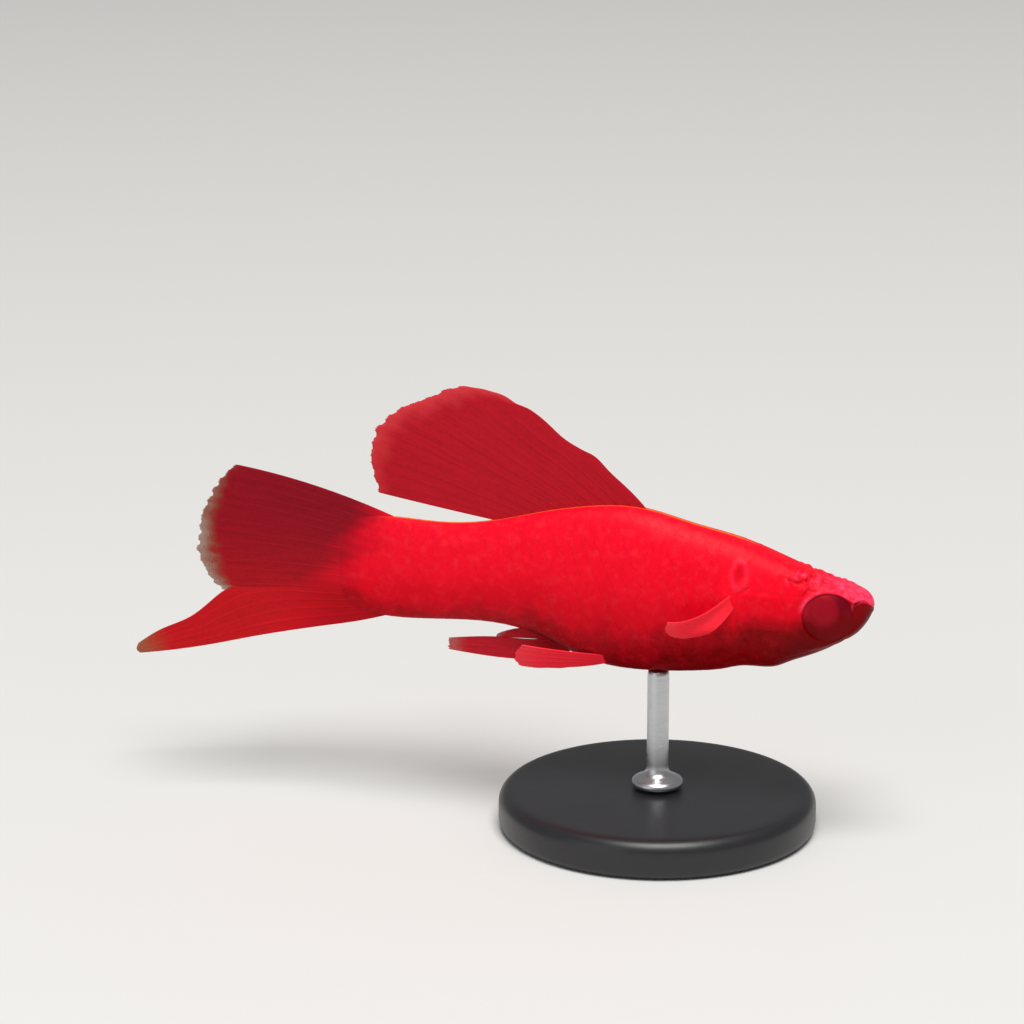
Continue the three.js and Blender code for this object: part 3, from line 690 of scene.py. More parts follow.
def fin_material(name, web, brighter=None, body=None, streaked=1.0):
    """A thin fin, streaked and clearer at its margin. `body` tints it where it joins the body, with the
    body's painted shade along the lower edge.
    """
    ray, margin, clear_from, opacity = FIN_LOOKS[name]
    material, tree, shader = new_material(name)
    color = mixed(tree, linear(tree, attribute(tree, "ray"), 0.5), web, ray)
    color = tinted(tree, color, brighter or {})
    streak = above_level(tree, streaks(tree), 0.45, 1.4 * streaked)
    color = mixed(tree, streak, color, [c * 0.6 for c in web])
    grain = above_level(tree, noise(tree, 2600.0, 3.0, 0.6), 0.48, 1.1 * streaked)
    color = mixed(tree, grain, color, [c * 0.55 for c in web])
    color = tinted(tree, color, body or {})
    edge = new_node(tree, "ShaderNodeMapRange", {
        "Value": linear(tree, noise(tree, 500.0), 0.12, attribute(tree, "along")),
        "From Min": clear_from + 0.06,
        "From Max": 1.06,
    }, interpolation_type="SMOOTHSTEP").outputs["Result"]
    set_inputs(tree, shader, {
        "Base Color": mixed(tree, edge, color, margin),
        "Alpha": linear(tree, edge, opacity - 1.0, 1.0),
        "Roughness": 0.5,
        "Specular IOR Level": 0.1,
        "Subsurface Weight": 0.15,
        "Subsurface Radius": (1.0, 0.1, 0.06),
        "Subsurface Scale": 0.0005,
        "Normal": bump(tree, noise(tree, 3000.0, 3.0, 0.6), 0.00003, 0.5),
    })
    return material


def eye_material(colors):
    """Dark red iris, with painted light above and behind and a painted violet sheen above in front, and a
    dull red pupil.
    """
    material, tree, shader = new_material("eye_maroon")
    streak = linear(tree, noise(tree, 1500.0, 4.0, 0.7), 0.3)
    iris = mixed(tree, streak, colors.iris, colors.iris_light)
    color = tinted(tree, iris, {
        "iris_lit": colors.iris_light, "violet": colors.iris_violet_sheen, "pupil": colors.pupil, "ring": colors.ring,
    })
    set_inputs(tree, shader, {
        "Base Color": color,
        "Roughness": 0.42,
        "Specular IOR Level": 0.05,
        "Coat Weight": 0.03,
        "Coat Roughness": 0.25,
    })
    return material


def base_material(color):
    material, tree, shader = new_material("satin_black")
    set_inputs(tree, shader, {
        "Base Color": grained(tree, color, 1.9, noise(tree, 900.0, 6.0, 0.6), 0.5),
        "Roughness": linear(tree, noise(tree, 140.0, 5.0), 0.16, 0.28),
        "Normal": bump(tree, noise(tree, 2600.0, 4.0), 0.00002, 0.4),
    })
    return material


def steel_material(color):
    """Steel with fine lines round the rod."""
    material, tree, shader = new_material("brushed_rod")
    values = {"Vector": object_place(tree), "Scale": (1.0, 1.0, 14.0)}
    stretched = new_node(tree, "ShaderNodeMapping", values).outputs["Vector"]
    lines = noise(tree, 700.0, 5.0, 0.6, stretched)
    set_inputs(tree, shader, {
        "Base Color": grained(tree, color, 0.6, lines, 0.5),
        "Roughness": linear(tree, lines, 0.25, 0.2),
        "Metallic": 1.0,
    })
    return material


def floor_material(color):
    material, tree, shader = new_material("pale_floor")
    set_inputs(tree, shader, {
        "Base Color": grained(tree, color, 0.9, noise(tree, 60.0), 0.06),
        "Roughness": 0.7,
    })
    return material


# Colour maps kept on the points

def tail_share(s, z):
    """0 on the flesh and 1 on the dark tail fin, further back the lower a point is."""
    wavy = s + 0.4 * np.sin(1.9 * z + 0.7 * s) + 0.25 * np.sin(5.3 * z - 1.1 * s)
    return smoothstep(49.8 - 0.35 * z, 58 - 0.8 * z, wavy)


def tone_map(s, z, share):
    """Painted shade, as under a light from above: 0 on the belly to 1 on the back, darker on the cheek and
    throat, and evener towards the tail but still darker low down.
    """
    wave = 0.02 * np.sin(s * 0.9) + 0.015 * np.sin(s * 2.3 + 1.7)
    # Painted shade on the lower cheek and the throat; the lower side of the stalk gets less of it.
    cheek = 0.22 * smoothstep(14, 11, s) * smoothstep(1.6, 0.4, z)
    throat = 0.2 * smoothstep(26, 14, s) * smoothstep(-0.5, -4, z)
    stalk = 0.13 * smoothstep(30, 42, s) * (1 - share)
    tone = share + wave - cheek - throat + stalk
    # Towards the tail the painted shade evens out, but stays darker low down.
    tone = tone + (0.5 - 0.42 * smoothstep(-1, -3.8, z) - tone) * smoothstep(49, 55, s)
    return np.clip(tone, 0, 1)


def skin_maps(s, angle):
    """Painted shade by height on the body, on the lower face and in the gill spot's hollow; a pink snout,
    partly painted light, with painted highlights on the eye's rim and the spot's rim and a lighter mouth
    corner; the gold back line and the darker tail; of skin and scales.
    """
    place = plain_skin(s, angle)
    y, z = place[..., 1], place[..., 2]
    share = np.clip((z - belly(s)) / np.maximum(1e-6, back(s) - belly(s)), 0, 1)
    above_face = z - face_line(np.clip(s, 0, 5.5))
    # Painted shade over the lower face, below the face line and ahead of the cheek.
    face = 0.92 * smoothstep(0.1, -0.2, above_face) * smoothstep(8.4, 4.6, s + 0.9 * (z + 2))
    # The painted shade eases on the mouth corner's fold, which is painted lighter.
    corner = bell(distance_to(MOUTH_CORNER, s, z), 0.13)
    # The snout's top is pink, partly its own colour and partly painted light where it is lit.
    snout = (0.7 * smoothstep(6.8, 1.5, s) + 0.3 * bell(s, 1.1)) * smoothstep(-1.2, 0, z)
    snout = snout * smoothstep(-0.2, 0.1, above_face)
    # A painted highlight on the rim above and behind the eye, where the painted shade gives way.
    radius = np.maximum(0.1, oval(s, z, EYE_AT, EYE_HEIGHT))
    rear = smoothstep(0.78, 0.95, ((s - EYE_AT) * 0.7 + (z - EYE_HEIGHT) * 0.72) / radius)
    rim = bell(radius - EYE_OPENING - 0.2, 0.26) * rear
    # Painted shade in the gill spot's hollow and a painted highlight round its rim.
    spot = oval(s, z, *SPOT)
    crest = bell(y, 0.115) * smoothstep(0.9, 0.96, share)
    return {
        "tone": tone_map(s, z, share),
        "pink": np.clip(snout + 0.85 * rim + 0.3 * corner + 0.2 * bell(spot - 1.55, 0.35), 0, 1),
        "gold": 0.7 * crest * smoothstep(11, 13.5, s) * smoothstep(52, 48, s),
        "tail": tail_share(s, z),
        "shade": face * (1 - rim) * (1 - 0.5 * corner) + 0.2 * smoothstep(1.3, 0.6, spot),
    }


# Sizes and colours

def color_property(name, what, default):
    return FloatVectorProperty(
        name=name, description=f"Colour of {what}", subtype="COLOR", size=3, min=0, max=1, default=default)


def length_property(name, description, default):
    return FloatProperty(name=name, description=description, unit="LENGTH", default=default)


def angle_property(name, description, degrees):
    return FloatProperty(name=name, description=description, subtype="ANGLE", default=math.radians(degrees))


class SwordtailFlesh(PropertyGroup):
    """Colours and relief of the skin and scales"""

    flank_red: color_property("Flank", "the upper flank", (0.93, 0.002, 0.018))
    # The lower flank, side of the belly and belly colours step the painted shade down to the belly, as under
    # a light from above; the lower flank's red also tints the mottles and the tail fin's root.
    lower_red: color_property("Lower flank", "the flank below its middle", (0.76, 0.0, 0.012))
    deep_shade_red: color_property("Side of the belly", "the side of the belly", (0.38, 0.0, 0.005))
    belly_shade_red: color_property("Belly", "the belly and throat", (0.2, 0.0, 0.001))
    back_red: color_property("Back", "the back", (0.9, 0.004, 0.022))
    back_gold: color_property("Back line", "the thin line along the back", (0.92, 0.32, 0.03))
    # The snout's pink, also used for painted highlights on the eye's rim, the crests of the head and the gill
    # spot's rim, and for the lighter mouth corner.
    snout_pink_and_highlight: color_property("Snout", "the upper lip and the tip of the snout", (0.95, 0.06, 0.15))
    # Painted shade in the folds, grooves and pits of the head, on the lower face and in the gill spot's
    # hollow.
    painted_shade_red: color_property("Folds", "the folds of the head and the lower face", (0.15, 0.0, 0.001))
    roughness: FloatProperty(
        name="Roughness", description="Roughness of the wet skin", min=0, max=1, default=0.42)
    scale_rise: length_property("Scale rise", "How far a scale's free edge stands out", 0.000012)
    scale_rows: IntProperty(
        name="Scale rows", description="Rows of scales from belly to back", min=6, max=20, default=12)
    scale_spacing: length_property("Scale spacing", "Distance between scales along the flank", 0.00145)


class SwordtailFins(PropertyGroup):
    """Colours of the fins, and the thickness of the large ones"""

    dorsal: color_property("Dorsal fin", "the dorsal fin", (0.45, 0.005, 0.015))
    caudal: color_property("Tail fin", "the tail fin", (0.25, 0.002, 0.011))
    sword: color_property("Sword", "the sword", (0.52, 0.005, 0.01))
    paired: color_property("Paired fins", "the pectoral and pelvic fins", (1.0, 0.022, 0.045))
    anal: color_property("Anal fin", "the anal fin", (0.5, 0.008, 0.02))
    web: length_property("Web", "Thickness of the dorsal fin, tail fin and sword at their roots", 0.00024)


class SwordtailEye(PropertyGroup):
    """Colours of the eyes"""

    pupil: color_property("Pupil", "the pupil", (0.3, 0.004, 0.014))
    ring: color_property("Ring", "the thin ring round the pupil", (0.2, 0.0, 0.002))
    iris: color_property("Iris", "the iris where it is darkest", (0.13, 0.0, 0.001))
    # Painted light on the iris above and behind the pupil; this colour also lightens the iris's fibres.
    iris_light: color_property("Iris above", "the iris above and behind the pupil", (0.42, 0.006, 0.015))
    # A painted violet sheen on the iris above and before the pupil.
    iris_violet_sheen: color_property("Iris sheen", "the iris above and before the pupil", (0.12, 0.003, 0.022))


class SwordtailStand(PropertyGroup):
    """Colours of the stand"""

    base: color_property("Base", "the base", (0.012, 0.012, 0.014))
    rod: color_property("Rod", "the steel rod", (0.62, 0.63, 0.65))


class SwordtailStage(PropertyGroup):
    """Floor, lights and camera"""

    floor: color_property("Floor", "the floor", (0.72, 0.72, 0.71))
    azimuth: angle_property("Azimuth", "Camera's turn towards the head", 10)
    elevation: angle_property("Elevation", "Camera's height angle", 16)
    distance: length_property("Distance", "Camera's distance", 0.4)
    frame_width: length_property("Frame width", "Width seen at the fish", 0.1014)
    aim: FloatVectorProperty(
        name="Aim", description="Point in the middle of the picture", subtype="TRANSLATION",
        default=(-0.01455, -0.00179, 0.03267))
    key_power: FloatProperty(name="Key light", description="Power of the light above", default=21)
    fill_power: FloatProperty(
        name="Fill light", description="Power of the light beside the camera", default=0.35)


# The skin

SNOUT_END = 0.6
FACE_END = 2.6
HEAD_END = 14.6
SKIN_RINGS = np.concatenate([
    np.linspace(0.02, 1, 26) ** 1.6 * SNOUT_END,
    np.linspace(SNOUT_END, FACE_END, 44)[1:],
    np.linspace(FACE_END, HEAD_END, 126)[1:],
    HEAD_END + (FLESH_LENGTH - HEAD_END) * np.sin(np.linspace(0, math.pi / 2, 120)[1:-1]) ** 0.9,
])
SKIN_SIDES = 304
SKIN_INSET = 0.008  # of the skin under the scales
GROOVE_SHADE = 3.2  # painted shade for each millimetre that a groove is deep
CREST_HIGHLIGHT = 5  # painted pink highlight for each millimetre that a crest is high, from CREST_FROM on
CREST_FROM = 0.04


def show_relief(maps, depth, s, z):
    """Paints shade into the grooves and pits, and pink highlights onto the crests of the upper head."""
    maps["shade"] = np.clip(maps["shade"] - GROOVE_SHADE * np.minimum(depth, 0), 0, 0.9)
    crests = CREST_HIGHLIGHT * np.maximum(0, depth - CREST_FROM)
    upper_head = smoothstep(0.4, 1.4, z) * smoothstep(15, 9, s)
    maps["pink"] = np.clip(maps["pink"] + crests * upper_head, 0, 1)


def skin_faces(snout):
    """Quads round the body and triangles to its two ends, which come last of the points."""
    count = len(SKIN_RINGS)
    faces = grid_faces(SKIN_SIDES, count, wrap=True)[:, ::-1].tolist()
    for column in range(SKIN_SIDES):
        first = column * count
        after = (column + 1) % SKIN_SIDES * count
        faces.append((snout, first, after))
        faces.append((snout + 1, after + count - 1, first + count - 1))
    return faces


class SWORDTAIL_OT_skin(Operator):
    """One skin from the snout to the root of the tail fin"""

    bl_idname = "swordtail.skin"
    bl_label = "Skin"

    def execute(self, context):
        angles = np.arange(SKIN_SIDES) * 2 * math.pi / SKIN_SIDES
        angle, s = np.meshgrid(angles, SKIN_RINGS, indexing="ij")
        plain = plain_skin(s, angle)
        y, z = plain[..., 1], plain[..., 2]
        ends = [[-at, 0.0, float(waist(at))] for at in (0, FLESH_LENGTH)]
        points = skin_point(s, angle, -SKIN_INSET * scaled(s, z)).reshape(-1, 3)
        maps = skin_maps(s, angle)
        show_relief(maps, relief(s, y, z), s, z)
        maps = {key: np.append(value, value[0, [0, -1]]) for key, value in maps.items()}
        material = flesh_material(context.scene.swordtail_flesh, context.scene.swordtail_fins.caudal)
        everything = world(np.concatenate([points, ends]))
        piece = mesh_object("fish_skin", everything, skin_faces(len(points)), material, maps)
        finish_piece(piece, "flesh", "head", "trunk", "tail_stalk")
        return {"FINISHED"}


# The scales

SCALE_LONG = 9  # quads along a scale
SCALE_WIDE = 10  # quads across a scale
SCALE_SMOOTH = 0.975  # share of a scale inside the narrow quads along its edge
SCALE_REACH = 1.8  # length of a scale in spacings
SCALE_HALF = 0.98  # half width of a scale in rows
SCALE_THICK = 0.03  # at its root, and twice as much at its free edge
SCALE_PATCH = 0.003  # size of a scale's patch on the bake map
FIRST_SCALE = 8.2  # behind the snout
LAST_SCALE = 51
ROOT_AHEAD = 1.6  # how far before the start of the coat a scale may be rooted
SIDE_HALF = 0.485  # from the middle of a side, the share from which scales are held back
SIDE_OVER = 0.018  # share that scales still reach beyond it


def spacing_at(s, spacing):
    """Distance between scales along the flank, which gets smaller towards the tail."""
    return spacing * (1 - 0.2 * smoothstep(30, 52, s))


def scale_roots(rows, spacing):
    """Root of each scale: its place along the body and its share of the way up the side."""
    along = [FIRST_SCALE]
    while along[-1] < LAST_SCALE:
        along.append(along[-1] + 0.5 * float(spacing_at(along[-1], spacing)))
    roots = []
    for row in range(rows):
        s = np.array(along[row % 2::2])
        share = np.full(len(s), (row + 0.5) / rows)
        past = s - scale_start(plain_skin(s, angle_at(s, share))[:, 2])
        roots.append(np.stack([s, share], -1)[past > -ROOT_AHEAD])
    return np.concatenate(roots)


def kept_on_side(share):
    """Scales of one side end just past the middle of the back and of the belly."""
    over = np.maximum(0, np.abs(share - 0.5) - SIDE_HALF)
    eased = SIDE_HALF + SIDE_OVER * (1 - np.exp(-over / SIDE_OVER))
    return np.where(over > 0, 0.5 + np.sign(share - 0.5) * eased, share)


def scale_grid():
    """Places along and across a scale, which are close together beside its edge."""
    along = np.append(np.linspace(0, SCALE_SMOOTH, SCALE_LONG), 1)
    inner = np.linspace(-SCALE_SMOOTH, SCALE_SMOOTH, SCALE_WIDE - 1)
    return np.meshgrid(along, np.concatenate([[-1], inner, [1]]), indexing="ij")


ALONG, ACROSS = scale_grid()


def scales_laid(roots, lengths, rows, hand):
    """Place along the body and angle round it, for each point of each scale."""
    rounded_tip = 1 - 0.44 * ACROSS ** 2
    s = np.minimum(roots[:, 0, None, None] + lengths * ALONG * rounded_tip, FLESH_LENGTH - 0.05)
    width = 0.55 + 0.45 * np.sin(np.minimum(ALONG, 0.55) / 0.55 * math.pi / 2)
    share = roots[:, 1, None, None] + SCALE_HALF / rows * ACROSS * width
    angle = angle_at(s, kept_on_side(share))
    return s, angle if hand > 0 else math.pi - angle


def bake_map(piece, roots, hand, one):
    """Each scale is a small patch at its root's place on the unrolled skin."""
    u = roots[:, 0] / FLESH_LENGTH
    v = 0.5 + 0.49 * roots[:, 1] if hand > 0 else 0.49 - 0.49 * roots[:, 1]
    patch = np.stack([ALONG.ravel(), (ACROSS.ravel() + 1) / 2], -1) * SCALE_PATCH
    uv = np.concatenate([patch, patch])[one.ravel()] + np.stack([u, v], -1)[:, None]
    layer = piece.data.uv_layers.new(name="OFBake")
    layer.data.foreach_set("uv", np.ascontiguousarray(uv, np.float32).ravel())


def scale_coat(name, hand, colors, material):
    """The scales of one side, as closed shells with a smooth top and underside and a flat rim."""
    rng = np.random.default_rng(11)
    spacing = colors.scale_spacing / MM
    roots = scale_roots(colors.scale_rows, spacing)
    count = len(roots)
    reach = SCALE_REACH * rng.uniform(0.97, 1.03, count)
    lengths = (spacing_at(roots[:, 0], spacing) * reach)[:, None, None]
    s, angle = scales_laid(roots, lengths, colors.scale_rows, hand)
    slope = 1.3 * ALONG ** 1.3 - 0.32 - 0.24 * ACROSS ** 2
    lift = colors.scale_rise / MM * slope - scales_sunk(s, plain_skin(s, angle)[..., 2])
    under = lift - SCALE_THICK * (1 + ALONG)
    points = np.stack([skin_point(s, angle, lift), skin_point(s, angle, under)], 1)
    maps = skin_maps(s, angle)
    tone_change = rng.uniform(-0.03, 0.03, count)[:, None, None]
    maps["tone"] = np.clip(maps["tone"] + tone_change, 0, 1)
    maps = {key: np.stack([value, value], 1) for key, value in maps.items()}
    one = sheet_faces(*ALONG.shape)[:, ::hand]
    faces = one + 2 * ALONG.size * np.arange(count)[:, None, None]
    piece = mesh_object(name, world(points), faces.reshape(-1, 4).tolist(), material, maps)
    smooth = np.arange(len(one)) < 2 * SCALE_LONG * SCALE_WIDE
    piece.data.polygons.foreach_set("use_smooth", np.tile(smooth, count))
    bake_map(piece, roots, hand, one)
    finish_piece(piece, "flesh")


class SWORDTAIL_OT_scales(Operator):
    """Overlapping scales over the trunk and the root of the tail, one mesh for each side"""

    bl_idname = "swordtail.scales"
    bl_label = "Scales"

    def execute(self, context):
        for hand, name in ((1, "scales_left"), (-1, "scales_right")):
            scale_coat(name, hand, context.scene.swordtail_flesh, bpy.data.materials["flesh_red"])
        return {"FINISHED"}


# The eyes

EYE_RINGS = 61
EYE_SIDES = 90
LENS_HEIGHT = 0.04
GROOVE_DEPTH = 0.02  # of the ring round the lens


def eye_maps(x, z, radius, apart):
    """Pupil, its ring, the painted light on the iris above and behind, and the painted violet sheen above in
    front.
    """
    above_behind = (0.8 * z - 0.6 * x) / np.maximum(radius, 0.1)
    above_front = (0.8 * z + 0.6 * x) / np.maximum(radius, 0.1)
    return {
        "pupil": smoothstep(PUPIL_RADIUS + 0.3, PUPIL_RADIUS - 0.3, apart),
        "ring": 0.3 * bell(apart - PUPIL_RADIUS + 0.3, 0.1),
        # Painted light on the iris above and behind, and a painted sheen above in front.
        "iris_lit": smoothstep(0.3, 0.95, above_behind) * smoothstep(1.3, 2.1, radius),
        "violet": 0.4 * smoothstep(0.6, 0.95, above_front) * smoothstep(1.2, 1.9, radius),
    }


def eyeball(name, node, hand, material):
    """A flattened ball with a low round pupil, turned a little forwards."""
    polar = np.linspace(0.001, math.pi - 0.001, EYE_RINGS)
    polar, turned = np.meshgrid(polar, np.arange(EYE_SIDES) * 2 * math.pi / EYE_SIDES)
    radius, front = EYEBALL_RADIUS * np.sin(polar), np.cos(polar)
    shown = front > 0
    x, z = radius * np.cos(turned), radius * np.sin(turned)
    apart = np.hypot(x - PUPIL_AT[0], z - PUPIL_AT[1])
    lens = LENS_HEIGHT * smoothstep(PUPIL_RADIUS, PUPIL_RADIUS - 0.5, apart)
    groove = GROOVE_DEPTH * bell(apart - PUPIL_RADIUS - 0.1, 0.12)
    out = EYEBALL_HALF * front + (lens - groove) * shown
    forward = x * math.cos(EYE_FORWARD) + out * math.sin(EYE_FORWARD)
    outwards = out * math.cos(EYE_FORWARD) - x * math.sin(EYE_FORWARD)
    points = np.stack([forward - EYE_AT, hand * (EYE_DEPTH + outwards), z + EYE_HEIGHT], -1)
    maps = {key: value * shown for key, value in eye_maps(x, z, radius, apart).items()}
    faces = capped_faces(EYE_SIDES, EYE_RINGS, flip=hand < 0)
    finish_piece(mesh_object(name, world(points), faces, material, maps), "eye", node)


class SWORDTAIL_OT_eyes(Operator):
    """Both eyes, with a low round pupil"""

    bl_idname = "swordtail.eyes"
    bl_label = "Eyes"

    def execute(self, context):
        material = eye_material(context.scene.swordtail_eye)
        for hand, word in ((1, "left"), (-1, "right")):
            eyeball("eyeball_" + word, "eye_" + word, hand, material)
        return {"FINISHED"}


# The fins

def ray_ridge(t, v, forks):
    """1 on a ray and 0 between rays. `t` counts rays, and each ray forks twice towards its tip."""
    first = forks * 0.15 * smoothstep(0.4, 1.0, v)
    second = forks * 0.07 * smoothstep(0.68, 1.0, v)
    off = t - np.round(t)
    ridge = np.zeros_like(off)
    for one in (-1, 1):
        for two in (-1, 1):
            ridge = np.maximum(ridge, bell(off - one * first - two * second, 0.1 - 0.04 * forks * v))
    return ridge


def fan_place(form, hand, u, w):
    """Middle of a fan of rays from its root line to its margin."""
    start, end = through(form["root"])(u), through(form["margin"])(u)
    s, y, z = [a + (b - a) * w for a, b in zip(start, end)]
    arch = 1 - np.abs(2 * w - 1) ** form.get("full", 2)
    lift = (form["bow"][0] * (1 - u) + form["bow"][1] * u) * arch
    for at, rise, length in form.get("steps", []):
        lift = lift + rise * bell(w - at, length) * (1 - u) ** 6
    lean_turn = 0.25 + (form.get("lean_end", 0.75) - 0.25) * u
    curl = form.get("lean", 0) * w * w * np.sin(math.pi * lean_turn)
    ripple = 0.06 * np.sin(7 * u + 2 * w) * w * (1 - u)
    y = hand * (y + form.get("swell", 0) * arch) + curl + ripple
    return np.stack([-s, y, z + lift], -1)


def band_place(form, hand, u, w):
    """Middle of a band of rays that run side by side between two edges."""
    w = w * (1 - form.get("round_tip", 0) * (2 * u - 1) ** 2)
    (top_s, top_z), (low_s, low_z) = through(form["upper"])(w), through(form["lower"])(w)
    s, z = low_s + (top_s - low_s) * u, low_z + (top_z - low_z) * u
    return np.stack([-s, np.zeros_like(u), z], -1)


def half_thickness(form, fins, t, u, v, ridge):
    """Half of a fin's thickness: web and jointed rays, thinner to the tips and at the edges."""
    web = form.get("web", fins.web / MM)
    joints = 1 + 0.1 * np.sin(v * 150 + t)
    half = web / 2 * (1 - 0.55 * v) + ridge * form["ridge"] * (1 - 0.65 * v) * joints
    tips = 0.35 + 0.65 * smoothstep(0, 0.03, 1 - v)
    sides = 0.5 + 0.5 * smoothstep(0, 0.02, np.minimum(u, 1 - u))
    return half * tips * sides


def fin_maps(form, middle, t, u, v, ridge):
    """Rays, streaks, margin, and where a fin brightens or takes on the body's colours and its painted shade
    low down.
    """
    s, z = -middle[..., 0], middle[..., 2]
    held = form.get("solid_corner", 0) * (1 - u) ** 3 + form.get("solid_rear", 0) * u ** 2
    return {
        "ray": ridge,
        "across": t,
        "along": v - held,
        "bright": form.get("bright", 0) * u ** 2,
        "root": 1 - tail_share(s, z),
        # Painted shade along the lower edge near the root, carrying on the body's.
        "low": 0.95 * smoothstep(-1, -3.8, z) * smoothstep(63, 54, s),
    }


def fin_sheet(name, form, fins, material, nodes=(), hand=1):
    """A thin closed fin over its grid of rays, with both faces ridged."""
    rng = np.random.default_rng(form["seed"])
    rays, (columns, rows) = form["rays"], form["grid"]
    u, v = np.meshgrid(np.linspace(0, 1, columns), np.linspace(0, 1, rows), indexing="ij")
    t = u * (rays - 1)
    ridge = ray_ridge(t, v, form.get("forks", 1))
    tips = np.interp(t, np.arange(rays), rng.uniform(-1, 1, rays)) + 0.5 * np.sin(t * 5.1 + rng.uniform(0, 6))
    reach = 1 + form.get("fray", FRAY) * (0.7 * tips - 0.9 * (1 - ridge))
    place = band_place if "upper" in form else fan_place
    middle = place(form, hand, u, v * reach)
    normal = np.cross(np.gradient(middle, axis=0), np.gradient(middle, axis=1))
    normal /= np.maximum(1e-9, np.linalg.norm(normal, axis=-1, keepdims=True))
    lift = normal * half_thickness(form, fins, t, u, v, ridge)[..., None]
    points = np.stack([middle + lift, middle - lift])
    maps = fin_maps(form, middle, t, u, v, ridge)
    maps = {key: np.stack([value, value]) for key, value in maps.items()}
    piece = mesh_object(name, world(points), sheet_faces(columns, rows).tolist(), material, maps)
    finish_piece(piece, "fin", *nodes)


class SWORDTAIL_OT_dorsal(Operator):
    """The tall dorsal fin"""

    bl_idname = "swordtail.dorsal"
    bl_label = "Dorsal fin"

    def execute(self, context):
        fins = context.scene.swordtail_fins
        fin_sheet("dorsal_sheet", DORSAL, fins, fin_material("dorsal_web", fins.dorsal), ["dorsal_fin"])
        return {"FINISHED"}


class SWORDTAIL_OT_tail(Operator):
    """The tail fin and the sword on its lower edge"""

    bl_idname = "swordtail.tail"
    bl_label = "Tail fin and sword"

    def execute(self, context):
        fins, flesh = context.scene.swordtail_fins, context.scene.swordtail_flesh
        middle = [(a + b) / 2 for a, b in zip(flesh.lower_red, flesh.flank_red)]
        # The root takes the flank's red, and low down the body's painted shade.
        body = {"root": middle, "low": flesh.deep_shade_red}
        web = fin_material("tail_web", fins.caudal, {"bright": fins.sword}, body)
        fin_sheet("tail_sheet", CAUDAL, fins, web, ["caudal_fin"])
        blade = fin_material("sword_web", fins.sword, None, body)
        fin_sheet("sword_sheet", SWORD, fins, blade, ["sword"])
        return {"FINISHED"}


class SWORDTAIL_OT_anal(Operator):
    """The rod-like anal fin of the male, with its short rear rays"""

    bl_idname = "swordtail.anal"
    bl_label = "Anal fin"

    def execute(self, context):
        fins = context.scene.swordtail_fins
        material = fin_material("anal_web", fins.anal)
        fin_sheet("gonopodium", GONOPODIUM, fins, material, ["anal_fin"])
        fin_sheet("anal_rear_rays", ANAL, fins, material)
        return {"FINISHED"}


class SWORDTAIL_OT_paired(Operator):
    """The pectoral and pelvic fins"""

    bl_idname = "swordtail.paired"
    bl_label = "Paired fins"

    def execute(self, context):
        fins = context.scene.swordtail_fins
        material = fin_material("paired_web", fins.paired, streaked=0.4)
        for hand, word in ((1, "left"), (-1, "right")):
            fin_sheet("pectoral_" + word, PECTORAL, fins, material, ["pectoral_fin_" + word], hand)
        for hand, word, form in ((1, "left", LEFT_PELVIC), (-1, "right", RIGHT_PELVIC)):
            fin_sheet("pelvic_" + word, form, fins, material, ["pelvic_fin_" + word], hand)
        return {"FINISHED"}


# The stand: outlines of radius and height, from the axis at the bottom to the axis at the top

BASE_RADIUS = 16.0
BASE_OUTLINE = [
    (0, 0), (BASE_RADIUS - 0.6, 0), (BASE_RADIUS, 0.6), (BASE_RADIUS, 2.9), (BASE_RADIUS - 0.3, 3.5),
    (BASE_RADIUS - 0.8, 3.9), (BASE_RADIUS - 1.5, BASE_THICKNESS), (0, BASE_THICKNESS),
]
BASE_SIDES = 160
ROD_RADIUS = 1.1
ROD_FOOT = [(0, 4.3), (2.6, 4.3), (2.6, 5.0), (1.43, 5.5), (ROD_RADIUS, 6.1)]
ROD_SIDES = 64
CORNER_CUT = 0.25  # share of a side that is cut from each corner, and most millimetres


def rounded(outline):
    """An outline whose corners are softened by two rounds of corner cutting."""
    points = [np.array(p, float) for p in outline]
    for _ in range(2):
        cut = [points[0]]
        for p, q in zip(points[:-1], points[1:]):
            near = min(CORNER_CUT, CORNER_CUT / max(np.linalg.norm(q - p), 1e-6))
            cut += [p + (q - p) * near, q + (p - q) * near]
        points = cut + [points[-1]]
    return points


def lathe(name, outline, sides, material):
    """A closed turned piece about the Z axis, with the outline's corners softened."""
    radius, height = np.array(rounded(outline)[1:-1]).T
    angles = np.arange(sides)[:, None] * 2 * math.pi / sides
    points = np.stack(np.broadcast_arrays(np.cos(angles) * radius, np.sin(angles) * radius, height), -1)
    return mesh_object(name, points * MM, capped_faces(sides, len(radius)), material)


class SWORDTAIL_OT_stand(Operator):
    """The round base and the rod that holds the fish"""

    bl_idname = "swordtail.stand"
    bl_label = "Stand"

    def execute(self, context):
        colors = context.scene.swordtail_stand
        base = lathe("base_disc", BASE_OUTLINE, BASE_SIDES, base_material(colors.base))
        finish_piece(base, "stand_black", "stand_base")
        low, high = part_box("stand_rod")
        top = high[2] / MM
        outline = ROD_FOOT + [(ROD_RADIUS, top), (0, top)]
        rod = lathe("rod_turned", outline, ROD_SIDES, steel_material(colors.rod))
        finish_piece(rod, "stand_steel", "stand_rod")
        return {"FINISHED"}


# The stage, in metres

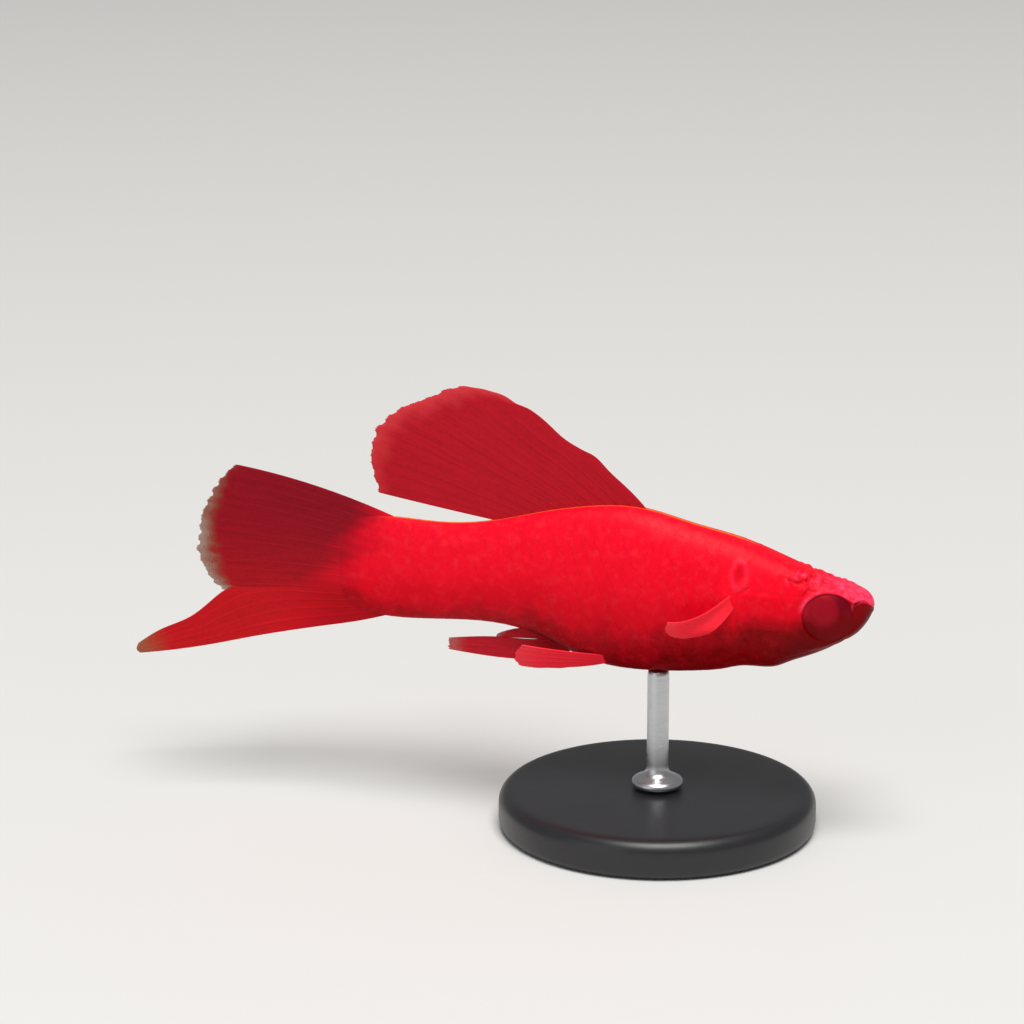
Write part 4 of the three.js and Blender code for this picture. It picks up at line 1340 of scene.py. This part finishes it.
FLOOR_RADIUS = 3
FLOOR_SIDES = 96
LIGHTS = {  # size, place and colour
    "key": (0.8, (0.15, -0.45, 1.3), (1.0, 0.98, 0.95)),
    "fill": (0.4, (-0.3, -0.4, 0.16), (0.95, 0.97, 1.0)),
}
LIT_PLACE = (0, 0, 0.03)
SKY = {"Color": (0.86, 0.87, 0.88), "Strength": 0.3}
SENSOR_WIDTH = 36.0


def lay_floor(stage):
    angles = np.arange(FLOOR_SIDES) * 2 * math.pi / FLOOR_SIDES
    points = np.stack([np.cos(angles), np.sin(angles), 0 * angles], -1) * FLOOR_RADIUS
    mesh_object("floor", points, [list(range(FLOOR_SIDES))], floor_material(stage.floor))


def hang_light(context, name, power):
    size, place, color = LIGHTS[name]
    data = bpy.data.lights.new(name, "AREA")
    data.energy, data.size, data.color = power, size, color
    lamp = bpy.data.objects.new(name, data)
    lamp.location = place
    lamp.rotation_euler = (Vector(LIT_PLACE) - Vector(place)).to_track_quat("-Z", "Y").to_euler()
    context.scene.collection.objects.link(lamp)


def light_sky(context):
    sky = bpy.data.worlds.new("studio")
    sky.use_nodes = True
    set_inputs(sky.node_tree, sky.node_tree.nodes["Background"], SKY)
    context.scene.world = sky
    context.scene.view_settings.view_transform = "Standard"


def place_camera(context, stage):
    data = bpy.data.cameras.new("camera")
    data.sensor_width = SENSOR_WIDTH
    data.lens = SENSOR_WIDTH * stage.distance / stage.frame_width
    data.clip_start, data.clip_end = 0.01, 20
    camera = bpy.data.objects.new("camera", data)
    a, e = stage.azimuth, stage.elevation
    away = Vector((math.sin(a) * math.cos(e), -math.cos(a) * math.cos(e), math.sin(e)))
    camera.location = Vector(stage.aim) + away * stage.distance
    camera.rotation_euler = away.to_track_quat("Z", "Y").to_euler()
    context.scene.collection.objects.link(camera)
    context.scene.camera = camera


class SWORDTAIL_OT_stage(Operator):
    """Floor, soft lights and the camera"""

    bl_idname = "swordtail.stage"
    bl_label = "Stage"

    def execute(self, context):
        stage = context.scene.swordtail_stage
        lay_floor(stage)
        hang_light(context, "key", stage.key_power)
        hang_light(context, "fill", stage.fill_power)
        light_sky(context)
        place_camera(context, stage)
        return {"FINISHED"}


class SWORDTAIL_PT_panel(Panel):
    """Lists the pieces of the swordtail"""

    bl_idname = "SWORDTAIL_PT_panel"
    bl_label = "Swordtail"
    bl_space_type = "VIEW_3D"
    bl_region_type = "UI"
    bl_category = "Swordtail"

    def draw(self, context):
        for operator in OPERATORS:
            self.layout.operator(operator.bl_idname)


GROUPS = {
    "swordtail_flesh": SwordtailFlesh,
    "swordtail_fins": SwordtailFins,
    "swordtail_eye": SwordtailEye,
    "swordtail_stand": SwordtailStand,
    "swordtail_stage": SwordtailStage,
}
OPERATORS = [
    SWORDTAIL_OT_stage,
    SWORDTAIL_OT_skin,
    SWORDTAIL_OT_scales,
    SWORDTAIL_OT_eyes,
    SWORDTAIL_OT_dorsal,
    SWORDTAIL_OT_tail,
    SWORDTAIL_OT_anal,
    SWORDTAIL_OT_paired,
    SWORDTAIL_OT_stand,
]


def register():
    for name, group in GROUPS.items():
        bpy.utils.register_class(group)
        setattr(bpy.types.Scene, name, PointerProperty(type=group))
    for item in OPERATORS + [SWORDTAIL_PT_panel]:
        bpy.utils.register_class(item)


def unregister():
    for item in [SWORDTAIL_PT_panel] + OPERATORS[::-1]:
        bpy.utils.unregister_class(item)
    for name, group in GROUPS.items():
        delattr(bpy.types.Scene, name)
        bpy.utils.unregister_class(group)


def main():
    register()
    for operator in OPERATORS:
        getattr(bpy.ops.swordtail, operator.bl_idname.split(".")[1])()


if __name__ == "__main__":
    main()
